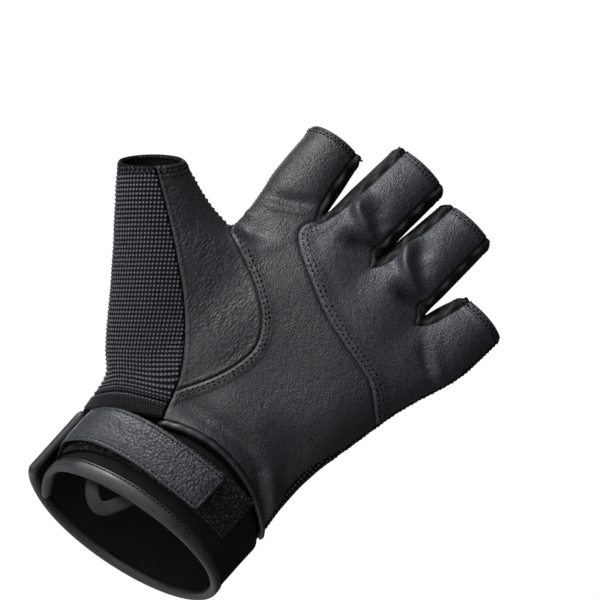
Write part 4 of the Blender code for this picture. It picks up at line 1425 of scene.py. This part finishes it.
@dataclass
class StitchRun:
    """Short stitches along rows on the form, each between two needle holes of black painted shade.
    """

    name: str
    slot: str
    length_mm: float = 0.85
    width_mm: float = 0.60
    depth_mm: float = 0.42
    pitch_mm: float = 1.85
    hole_mm: float = 0.95
    hole_width: float = 1.25
    sunk: float = 0.18
    spots: list[tuple[Vector, Vector, Vector]] = field(default_factory=list)

    def add_line(self, line: Sequence[Vector], land: Callable[[Vector], tuple]) -> None:
        """Place stitches along a line of points at the run's pitch.

        Args:
            line: points in order.
            land: gives a point's place on the surface and the direction outwards, or None.
        """
        lengths = [(b - a).length for a, b in zip(line, line[1:])]
        total = sum(lengths)
        count = int(total / (self.pitch_mm * MM))
        for index in range(count):
            target = (index + 0.5) * total / count
            walked = 0.0
            for a, b, length in zip(line, line[1:], lengths):
                if walked + length >= target:
                    share = (target - walked) / length
                    landed = land(a.lerp(b, share))
                    if landed is not None:
                        ahead = land(a.lerp(b, share) + (b - a).normalized() * 0.2 * MM)
                        if ahead is not None:
                            self.spots.append((landed[0], ahead[0] - landed[0], landed[1]))
                    break
                walked += length

    def build(self, thread: Material, hole: Material) -> None:
        """All the run's stitches, and the black ellipsoids of painted shade at its needle holes, as
        one piece.
        """
        if not self.spots:
            return
        form = bmesh.new()
        for place, along, out in self.spots:
            along = (along - out * along.dot(out)).normalized()
            across = out.cross(along)
            for length, shift, is_hole_shade in ((self.length_mm, 0.0, 0),
                                           (self.hole_mm, self.pitch_mm / 2, 1)):
                width = self.width_mm * (self.hole_width if is_hole_shade else 1.0)
                basis = Matrix((along * length / 2, across * width / 2,
                                out * self.depth_mm / 2)).transposed() * MM
                spot = place + along * shift * MM - out * self.depth_mm * MM * self.sunk
                made = bmesh.ops.create_uvsphere(form, u_segments=6, v_segments=4, radius=1.0,
                                                 matrix=Matrix.Translation(spot) @ basis.to_4x4())
                for face in {face for vert in made["verts"] for face in vert.link_faces}:
                    face.material_index = is_hole_shade
        bmesh.ops.recalc_face_normals(form, faces=form.faces[:])
        finished(self.name, form, self.slot, None, thread, hole)


@dataclass
class HandPart:
    """Everything above the cuff: the panels and their stitching."""

    hand: HandForm
    thread: Material
    hole: Material
    leather_wall: float = 0.0016
    weave_wall: float = 0.0015
    back_relief_mm: float = 7.0

    def panels(self) -> list[Panel]:
        """The eight sewn panels."""
        flesh, knit = FLESH_SIDE.build(), SIDE_KNIT.build()
        rib, back = RIB_JERSEY.build(), BACK_JERSEY.build()
        hides = ((Region.PALM_LEATHER, PALM_HIDE), (Region.FINGER_LEATHER, FINGER_HIDE),
                 (Region.THUMB_LEATHER, THUMB_HIDE))
        found = [Panel(region, self.leather_wall, hide.build(), flesh) for region, hide in hides]
        found += [Panel(Region.THUMB_WEAVE, self.weave_wall, rib, flesh, RibMap(self.hand)),
                  Panel(Region.BACK_WEAVE, self.weave_wall, back, flesh, BackRibs(),
                        self.back_relief_mm * MM)]
        strips = (Region.FOURCHETTE_1, Region.FOURCHETTE_2, Region.FOURCHETTE_3)
        return found + [Panel(region, self.weave_wall, knit, flesh, slot="fourchette")
                        for region in strips]

    def stitch_seam(self, tree: BVHTree, seam: Seam, name: str, slot: str) -> StitchRun:
        """The rows of topstitching beside a seam, landed on the leather from the palm side."""
        run = StitchRun(name, slot)

        def land(spot: Vector) -> tuple | None:
            found = tree.ray_cast(Vector((spot.x, -0.1, spot.y)), Vector((0, 1, 0)))
            return None if found[0] is None else (found[0], found[1])

        line = seam.smooth_line(self.hand)
        for row in seam.rows_mm:
            shifted = []
            for before, here, after in zip([line[0], *line[:-1]], line, [*line[1:], line[-1]]):
                step = (after - before).normalized()
                left = Vector((-step.y, step.x))
                shifted.append(here + left * row * MM)
            run.add_line(shifted, land)
        return run

    def hem_loops(self, form: BMesh) -> list[list[BMVert]]:
        """The open edges at the fingers and the thumb, each as a ring of vertices in order.

        Args:
            form: the whole form.

        Returns:
            The rings, from the thumb's on, each from its thumb side over the palm side.
        """
        low = self.hand.hem_level()
        left = {edge for edge in form.edges if edge.is_boundary and edge.verts[0].co.z > low}
        loops = []
        while left:
            first = min((vert for edge in left for vert in edge.verts), key=lambda vert: vert.co.x)
            loop = [first]
            while len(loop) == 1 or loop[-1] != first:
                ways = [edge for edge in loop[-1].link_edges if edge in left]
                onward = min(ways, key=lambda edge: edge.other_vert(loop[-1]).co.y)
                left.discard(onward)
                loop.append(onward.other_vert(loop[-1]))
            loops.append(loop[:-1])
        return loops

    def stitch_hems(self, form: BMesh, tree: BVHTree, rows_mm: Sequence[float]
                    ) -> StitchRun:
        """The rows of stitches that hold the turned hems."""
        run = StitchRun("hem_stitches", "palm_leather", length_mm=0.9, pitch_mm=1.75)

        def land(spot: Vector) -> tuple | None:
            found = tree.find_nearest(spot)
            return None if found[0] is None else (found[0], found[1])

        for loop in self.hem_loops(form):
            for row in rows_mm:
                line = []
                for vert in [*loop, loop[0]]:
                    inward = next((edge.other_vert(vert).co - vert.co for edge in vert.link_edges
                                   if not edge.is_boundary), None)
                    if inward is not None:
                        line.append(vert.co + inward.normalized() * row * MM)
                run.add_line(line, land)
        return run

    def build(self) -> None:
        """Build the panels and their stitches."""
        form = self.hand.build()
        tree = BVHTree.FromBMesh(form)
        for panel in self.panels():
            panel.build(form)
        runs = [self.stitch_seam(tree, PALM_SEAM, "palm_seam_stitches", "finger_leather"),
                self.stitch_seam(tree, PATCH_SEAM, "patch_stitches", "palm_leather"),
                self.stitch_hems(form, tree, SeamRelief(self.hand).hem_rows_mm)]
        for run in runs:
            run.build(self.thread, self.hole)
        form.free()


# The cuff


@dataclass
class Sweep:
    """A solid drawn along frames of centre, height direction and depth direction."""

    frames: list[tuple[Vector, Vector, Vector]]
    profile: Callable[[float, int], Point]
    sides: int = 20

    def build(self) -> BMesh:
        """Extrude the profile from frame to frame and close both ends."""
        form = bmesh.new()
        ring = bmesh.ops.create_circle(form, segments=self.sides, radius=1.0)["verts"]
        first = ring
        for index, (centre, up, out) in enumerate(self.frames):
            places = []
            for step in range(self.sides):
                high, deep = self.profile(math.tau * step / self.sides, index)
                places.append(centre + up * high + out * deep)
            if index == 0:
                for vert, place in zip(ring, places):
                    vert.co = place
            else:
                ring, _ = extrude_ring(form, ring, places)
        for end in (first, ring):
            bmesh.ops.contextual_create(form, geom=ring_edges(end))
        bmesh.ops.recalc_face_normals(form, faces=form.faces[:])
        form.normal_update()
        return form


@dataclass
class Cuff:
    """The soft band round the wrist, its bindings and the piped edge of the palm."""

    wrist: Wrist
    thread: Material
    hole: Material
    binding_height: float = 0.0042
    binding_depth: float = 0.0034
    binding_power: float = 2.5
    # The row of stitches on the binding, as a share of its half height over its middle
    row_share: float = 0.62
    row_groove_mm: float = 0.28
    row_pitch_degrees: float = 2.6
    roll_radius: float = 0.0011
    roll_start: float = 67.0
    roll_end: float = 174.0

    band_cells = (26, 300)
    binding_steps = 280
    side_steps = 40
    side_round_steps = 4
    roll_steps = 150
    # Turn and extra height, in millimetres
    growth = ((-22, 0.3), (20, 1.2), (45, 2.2), (80, 2.0), (110, 1.2), (150, 0.3), (200, 0.0))

    def band(self) -> None:
        """The band, with the slack swells of worn knit."""
        wrist = self.wrist
        low = self.binding_height * 0.7

        def height(turn: float, share: float) -> float:
            return low + (wrist.band_top(turn) - low) * share

        def offset(turn: float, share: float) -> float:
            swell = noise.noise(Vector((turn / 9, share * 3, 0.0)))
            return 0.25 * MM * swell * math.sin(math.pi * share)

        form = wrist.wrap(*self.band_cells, wrist.start, wrist.end, height, offset, True)
        thicken(form, wrist.wall)
        knit = CUFF_KNIT.build()
        finished("cuff_band", form, "cuff_band", "cuff_band", knit, knit)

    def rounded(self, turn: float) -> Point:
        """A point of the bindings' profile, which is fuller than an ellipse."""
        c, s = math.cos(turn), math.sin(turn)
        power = 2 / self.binding_power
        return (math.copysign(abs(s) ** power, s) * (self.binding_height / 2),
                math.copysign(abs(c) ** power, c) * (self.binding_depth / 2))

    def binding_growth(self, turn: float) -> float:
        """How much further the binding reaches up the band's face than its plain height."""
        return float(np.interp(turn, *np.array(self.growth).T)) * MM

    def binding(self, trim: Material) -> None:
        """The rounded binding along the wrist edge, with its row of stitches."""
        wrist, middle = self.wrist, -self.wrist.wall / 2
        half_h, half_d = self.binding_height / 2, self.binding_depth / 2
        start, end, count = wrist.start, wrist.end - 1, self.binding_steps
        turns = [start + (end - start) * step / count for step in range(count + 1)]
        frames = [(wrist.point(turn, half_h, middle), Vector((0, 0, 1)),
                   wrist.out(turn, half_h, middle)) for turn in turns]
        grown = [self.binding_growth(turn) for turn in turns]
        groove = self.row_groove_mm * MM

        def profile(turn: float, index: int) -> Point:
            high, deep = self.rounded(turn)
            if deep > 0:
                deep -= groove * math.exp(-((high / half_h - self.row_share) / 0.14) ** 2)
            return high + grown[index] * (high / half_h + 1) / 2, deep

        form = Sweep(frames, profile, 32).build()
        finished("cuff_binding", form, "binding", "cuff_binding", trim)
        run = StitchRun("binding_stitches", "binding", length_mm=1.15, width_mm=0.45,
                        pitch_mm=2.0)
        row = half_h * (1 + self.row_share)
        for step in range(int((end - start) / self.row_pitch_degrees)):
            turn = start + 1.5 + self.row_pitch_degrees * step
            high = row + self.binding_growth(turn) * 0.9
            here = wrist.point(turn, high, middle + half_d * 0.86)
            ahead = wrist.point(turn + 0.5, high, middle + half_d * 0.86)
            run.spots.append((here, ahead - here, wrist.out(turn, row, middle)))
        run.build(self.thread, self.hole)

    def side_binding(self, trim: Material) -> None:
        """The bound edge of the flap, from the corner of the wrist edge up."""
        wrist, middle = self.wrist, -self.wrist.wall / 2
        top = wrist.band_top(wrist.end)
        edge = wrist.end + math.degrees((self.binding_height / 2 + wrist.gap) / wrist.half_depth)
        frames = []
        count, last = self.side_steps, self.side_round_steps
        for step in range(count + 1):
            height = top * step / count
            centre = wrist.point(edge, height, middle, wrist.end)
            out = wrist.out(edge, height, middle)
            frames.append((centre, Vector((0, 0, 1)).cross(out).normalized(), out))

        def profile(turn: float, index: int) -> Point:
            high, deep = self.rounded(turn)
            size = math.sqrt(1 - (0.94 * max(index - count + last, 0) / last) ** 2)
            return high * size, deep * size

        form = Sweep(frames, profile, 28).build()
        finished("side_binding", form, "binding", "side_binding", trim)

    def roll(self) -> None:
        """The piped lower edge of the palm leather, fat at the thumb and slimmer outwards."""
        wrist = self.wrist
        count = self.roll_steps
        shares = np.linspace(0, 1, count + 1)
        sizes = self.roll_radius * (1.62 - 0.62 * rise(shares, 0.0, 0.40))
        frames = []
        for step in range(count + 1):
            turn = self.roll_start + (self.roll_end - self.roll_start) * step / count
            drop = sizes[step] + 2 * wrist.gap + wrist.hem_sag(turn)
            centre = wrist.hem_point(turn) - Vector((0, 0, drop))
            out = Vector((centre.x, centre.y * 2, 0)).normalized()
            frames.append((centre, Vector((0, 0, 1)), out))

        def profile(turn: float, index: int) -> Point:
            share = index / count
            size = sizes[index] * smoothstep(share, -0.02, 0.03)
            size *= 1 - 0.5 * smoothstep(share, 0.96, 1.0)
            size *= 1 + 0.06 * math.sin(index * 0.55) * math.sin(index * 0.13)
            return size * math.sin(turn), size * math.cos(turn)

        form = Sweep(frames, profile, 16).build()
        finished("palm_roll", form, "palm_roll", "palm_roll", ROLL_HIDE.build())

    def build(self) -> None:
        """Build the cuff's own pieces."""
        trim = BINDING_TRIM.build()
        self.band()
        self.binding(trim)
        self.side_binding(trim)
        self.roll()


@dataclass
class Closure:
    """The leather closing tab with its hook tape, and the loop pad that it closes on."""

    wrist: Wrist
    thread: Material
    hole: Material
    width: float = 0.0153
    wall: float = 0.0016
    corner: float = 0.0022
    root: float = -8.0
    tip: float = 109.0
    lift_start: float = 9.0
    lift_end: float = 27.0
    height: float = 0.0165
    rise: float = 0.0037
    fall: float = 0.0012
    loop_wall: float = 0.0015
    loop_width: float = 0.0165
    loop_drop: float = 0.0022
    loop_start: float = 22.0
    loop_end: float = 133.0
    hook_wall: float = 0.0010
    hook_margin: float = 0.0016
    hook_start: float = 30.0
    stitch_inset: float = 0.0013
    rim_drop: float = 0.55 * MM
    row_groove: float = 0.22 * MM
    swell: float = 0.25 * MM
    rise_turns: tuple[float, float] = (10.0, 48.0)
    fall_turns: tuple[float, float] = (55.0, 100.0)
    tab_cells: tuple[int, int] = (44, 260)
    pad_cells: tuple[int, int] = (56, 220)

    def middle(self, turn: float) -> float:
        """Height of the tab's centre line above the wrist edge."""
        up = self.rise * smoothstep(turn, *self.rise_turns)
        return self.height + up - self.fall * smoothstep(turn, *self.fall_turns)

    def lift(self, turn: float) -> float:
        """Stand-off of the tab's inner face, close to the band at its root."""
        gap = self.wrist.gap
        stack = self.loop_wall + self.hook_wall + 3 * gap
        return gap + (stack - gap) * smoothstep(turn, self.lift_start, self.lift_end)

    def half_width(self, turn: float) -> float:
        """Half the tab's width, less where its corners are rounded."""
        from_tip = (self.tip - turn) * self.wrist.length_per_degree(self.tip)
        cut = 0.0
        if from_tip < self.corner:
            left = self.corner ** 2 - (self.corner - from_tip) ** 2
            cut = self.corner - math.sqrt(max(left, 0))
        return self.width / 2 - cut

    def edge_distance(self, turn: float, across: float) -> float:
        """How far a point of the tab lies from its edge."""
        to_tip = (self.tip - turn) * self.wrist.length_per_degree(self.tip)
        return min(self.width / 2 - abs(across), to_tip)

    def strap(self) -> None:
        """The tab, with its sewn rim and rounded corners."""
        def height(turn: float, share: float) -> float:
            even = math.sin((share - 0.5) * math.pi)
            spread = 0.5 * even + 0.5 * (2 * share - 1)
            return self.middle(turn) + self.half_width(turn) * spread

        def offset(turn: float, share: float) -> float:
            across = height(turn, share) - self.middle(turn)
            reach = self.half_width(turn) - abs(across)
            inside = min(reach, max(self.edge_distance(turn, across), 0.0))
            drop = self.rim_drop * (1 - smoothstep(inside, -0.1 * MM, 0.7 * MM))
            near_row = (inside - self.stitch_inset) / (0.35 * MM)
            groove = self.row_groove * math.exp(-near_row ** 2)
            swell = self.swell * smoothstep(inside, 1.6 * MM, 4.5 * MM)
            return self.lift(turn) + self.wall - drop - groove + swell

        form = self.wrist.wrap(*self.tab_cells, self.root, self.tip, height, offset)
        thicken(form, self.wall * 0.9)
        hide = STRAP_HIDE.build()
        finished("strap", form, "strap", "strap", hide, FLESH_SIDE.build())
        run = StitchRun("strap_stitches", "strap", length_mm=1.0, width_mm=0.45, pitch_mm=1.7)
        inset = self.stitch_inset
        per_degree = self.wrist.length_per_degree(self.tip)
        end = self.tip - inset / per_degree
        lines = [[(turn, side * (self.width / 2 - inset)) for turn in np.arange(14, end - 2, 1.0)]
                 for side in (1, -1)]
        reach = self.width / 2 - inset
        lines.append([(end, across) for across in np.linspace(-reach * 0.85, reach * 0.85, 12)])
        for line in lines:
            points = [Vector((turn, across, 0)) for turn, across in line]
            spots = [self.wrist.point(p.x, self.middle(p.x) + p.y,
                                      self.lift(p.x) + self.wall - 0.16 * MM) for p in points]
            self.run_along(run, spots, [self.wrist.out(p.x, self.height, 0) for p in points])
        run.build(self.thread, self.hole)

    @staticmethod
    def run_along(run: StitchRun, spots: list[Vector], outs: list[Vector]) -> None:
        """Place a run's stitches along a line of spots that already lie on the surface."""
        walked = 0.0
        for a, b, out in zip(spots, spots[1:], outs):
            walked += (b - a).length
            if walked >= run.pitch_mm * MM:
                walked -= run.pitch_mm * MM
                run.spots.append((b, b - a, out))

    def pad(self, name: str, start: float, end: float, width: float, base: float, wall: float,
            drop: float, pile_mm: float, material: Material) -> None:
        """A tape on the cuff with an uneven pile.

        Args:
            name: the piece, which is also its solid.
            start: its first angle.
            end: its last angle.
            width: its height on the cuff.
            base: stand-off of its back.
            wall: its thickness.
            drop: how much lower than the tab it lies at its start.
            pile_mm: how uneven its face is.
            material: its finish.
        """
        def height(turn: float, share: float) -> float:
            low = drop * (1 - smoothstep(turn, start, self.tip))
            ragged = 0.25 * MM * noise.noise(Vector((turn * 1.9, share * 9, 3.0)))
            return self.middle(min(turn, self.tip)) - low + width * (share - 0.5) + ragged

        def offset(turn: float, share: float) -> float:
            spot = Vector((turn * 1.6, share * 34, 0.0))
            pile = noise.noise(spot) + 0.6 * noise.noise(spot * 2.3)
            edge = min(share, 1 - share) * width
            rounding = 0.5 * MM * (1 - smoothstep(edge, 0, 0.8 * MM))
            return base + wall - rounding + pile * pile_mm * MM

        form = self.wrist.wrap(*self.pad_cells, start, end, height, offset)
        thicken(form, wall * 0.85)
        finished(name, form, "tape", name, material, material)

    def build(self) -> None:
        """Build the closing tab and its tapes."""
        gap = self.wrist.gap
        self.pad("loop_tape", self.loop_start, self.loop_end, self.loop_width, gap,
                 self.loop_wall, self.loop_drop, 0.22, LOOP_NYLON.build())
        end = self.tip - self.hook_margin / self.wrist.length_per_degree(self.tip)
        self.pad("hook_tape", self.hook_start, end, self.width - 2 * self.hook_margin,
                 self.loop_wall + 2 * gap, self.hook_wall, 0.0, 0.08, HOOK_NYLON.build())
        self.strap()


@dataclass
class PullLoop:
    """The folded webbing loop that hangs from the wrist edge, both ends inside the band."""

    wrist: Wrist
    cuff: Cuff
    width: float = 0.0050
    wall: float = 0.0011
    rib_mm: float = 0.72
    rib_height_mm: float = 0.12
    sides: int = 20
    # The centre line in X and Z, in millimetres: down inside the wrist edge, a sharp bend, and up
    route = ((-20.2, 16.5), (-20.6, 11.8), (-19.3, 8.2), (-16.8, 5.2), (-13.0, 3.6),
             (-10.2, 5.2), (-8.2, 8.9), (-6.4, 12.9), (-5.4, 18.0))

    def build(self) -> None:
        """Sweep the ribbed ribbon along its route."""
        wrist = self.wrist
        inside = wrist.wall + (self.cuff.binding_depth - wrist.wall) / 2 + self.wall
        half_x, half_y = wrist.half_width - inside, wrist.half_depth - inside
        rough = [Vector((x, -1000 * half_y * math.sqrt(1 - (x * MM / half_x) ** 2), z)) * MM
                 for x, z in self.route]
        curve = catmull_rom(rough, 22)
        out = Vector((-0.25, -1, 0)).normalized()
        frames, walked, lengths = [], 0.0, []
        for before, here, after in zip([curve[0], *curve[:-1]], curve, [*curve[1:], curve[-1]]):
            along = (after - before).normalized()
            across = along.cross(out).normalized()
            frames.append((here, across, across.cross(along).normalized()))
            walked += (here - before).length
            lengths.append(walked)
        ribs = [0.5 + 0.5 * math.cos(math.tau * length / (self.rib_mm * MM)) for length in lengths]

        def profile(turn: float, index: int) -> Point:
            c, s = math.cos(turn), math.sin(turn)
            high = math.copysign(abs(s) ** 0.35, s) * self.width / 2
            deep = math.copysign(abs(c) ** 0.5, c) * self.wall / 2
            return high, deep * (1 + 2 * self.rib_height_mm * MM / self.wall * ribs[index])

        form = Sweep(frames, profile, self.sides).build()
        # crown: the rib height, which the finish paints as a highlight on the rib tops
        layer = form.verts.layers.float.new("crown")
        form.verts.ensure_lookup_table()
        for index, vert in enumerate(form.verts):
            vert[layer] = ribs[min(index // self.sides, len(ribs) - 1)]
        finished("pull_loop", form, "webbing", "pull_loop", GROSGRAIN.build())


# Camera and light


@dataclass
class StudioSet:
    """The camera at the photo's angle, soft light and a plain pale floor."""

    centre: Vector = field(default_factory=lambda: Vector((-0.0087, 0.0, 0.1028)))
    distance: float = 1.0
    field_width: float = 0.210
    roll_x: float = 0.743
    floor_z: float = -0.160
    floor_radius: float = 0.42
    ambient: float = 0.09
    light_distance: float = 0.9
    # Name, its direction to the right, up and to the front, its size and its power
    lights = (("key", -0.48, 1.00, 0.58, 0.50, 15.0),
              ("front", -0.25, 0.35, 1.00, 0.90, 4.5),
              ("back", -0.30, 0.20, -1.00, 0.80, 4.0))

    def axes(self) -> tuple[Vector, Vector]:
        """The picture's right and up directions."""
        rise_z = math.sqrt(1 - self.roll_x ** 2)
        return Vector((self.roll_x, 0, rise_z)), Vector((-rise_z, 0, self.roll_x))

    def camera(self) -> None:
        """A long lens in front of the palm, rolled so that the fingers point up and right."""
        right, up = self.axes()
        data = bpy.data.cameras.new("camera")
        data.sensor_width = 36.0
        data.lens = 36.0 * self.distance / self.field_width
        data.clip_start, data.clip_end = 0.05, 20.0
        camera = bpy.data.objects.new("camera", data)
        turn = Matrix((right, up, Vector((0, -1, 0)))).transposed().to_4x4()
        place = self.centre - Vector((0, self.distance, 0))
        camera.matrix_world = Matrix.Translation(place) @ turn
        bpy.context.scene.collection.objects.link(camera)
        bpy.context.scene.camera = camera

    def softbox(self, name: str, direction: Vector, size: float, power: float) -> None:
        """An area light that looks at the glove from a direction."""
        data = bpy.data.lights.new(name, "AREA")
        data.shape = "DISK"
        data.size = size
        data.energy = power
        light = bpy.data.objects.new(name, data)
        away = direction.normalized()
        turn = away.to_track_quat("Z", "Y").to_matrix().to_4x4()
        place = self.centre + away * self.light_distance
        light.matrix_world = Matrix.Translation(place) @ turn
        bpy.context.scene.collection.objects.link(light)

    def build(self) -> None:
        """Set up the camera, the lights, the white surroundings and the floor."""
        self.camera()
        right, up = self.axes()
        for name, sideways, upwards, forwards, size, power in self.lights:
            direction = right * sideways + up * upwards - Vector((0, forwards, 0))
            self.softbox(name, direction, size, power)
        world = bpy.data.worlds.new("studio")
        world.use_nodes = True
        tree = world.node_tree
        tree.nodes.clear()
        white = {"Color": (1, 1, 1, 1)}
        seen = add_node(tree, "LightPath", take="Is Camera Ray")
        sweep = add_node(tree, "Background", {**white, "Strength": 1.0})
        glow = add_node(tree, "Background", {**white, "Strength": self.ambient})
        mixed = add_node(tree, "MixShader", links={0: seen, 1: glow, 2: sweep})
        tree.links.new(mixed, tree.nodes.new("ShaderNodeOutputWorld").inputs["Surface"])
        bpy.context.scene.world = world
        bpy.context.scene.view_settings.view_transform = "Standard"
        form = bmesh.new()
        bmesh.ops.create_circle(form, cap_ends=True, segments=96, radius=self.floor_radius)
        mesh = bpy.data.meshes.new("floor")
        form.to_mesh(mesh)
        form.free()
        mesh.transform(Matrix.Translation((self.centre.x, 0.0, self.floor_z)))
        mesh.materials.append(FLOOR_BOARD.build())
        floor = bpy.data.objects.new("floor", mesh)
        bpy.context.scene.collection.objects.link(floor)


def main() -> None:
    """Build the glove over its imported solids, and the studio round it."""
    logging.basicConfig(level=logging.INFO, format="%(name)s: %(message)s")
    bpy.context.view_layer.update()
    wrist = Wrist()
    StudioSet().build()
    thread, hole = SEWING.build(), NEEDLE_HOLE_SHADE.build()
    HandPart(HandForm(wrist=wrist), thread, hole).build()
    cuff = Cuff(wrist, thread, hole)
    cuff.build()
    Closure(wrist, thread, hole).build()
    PullLoop(wrist, cuff).build()


if __name__ == "__main__":
    main()
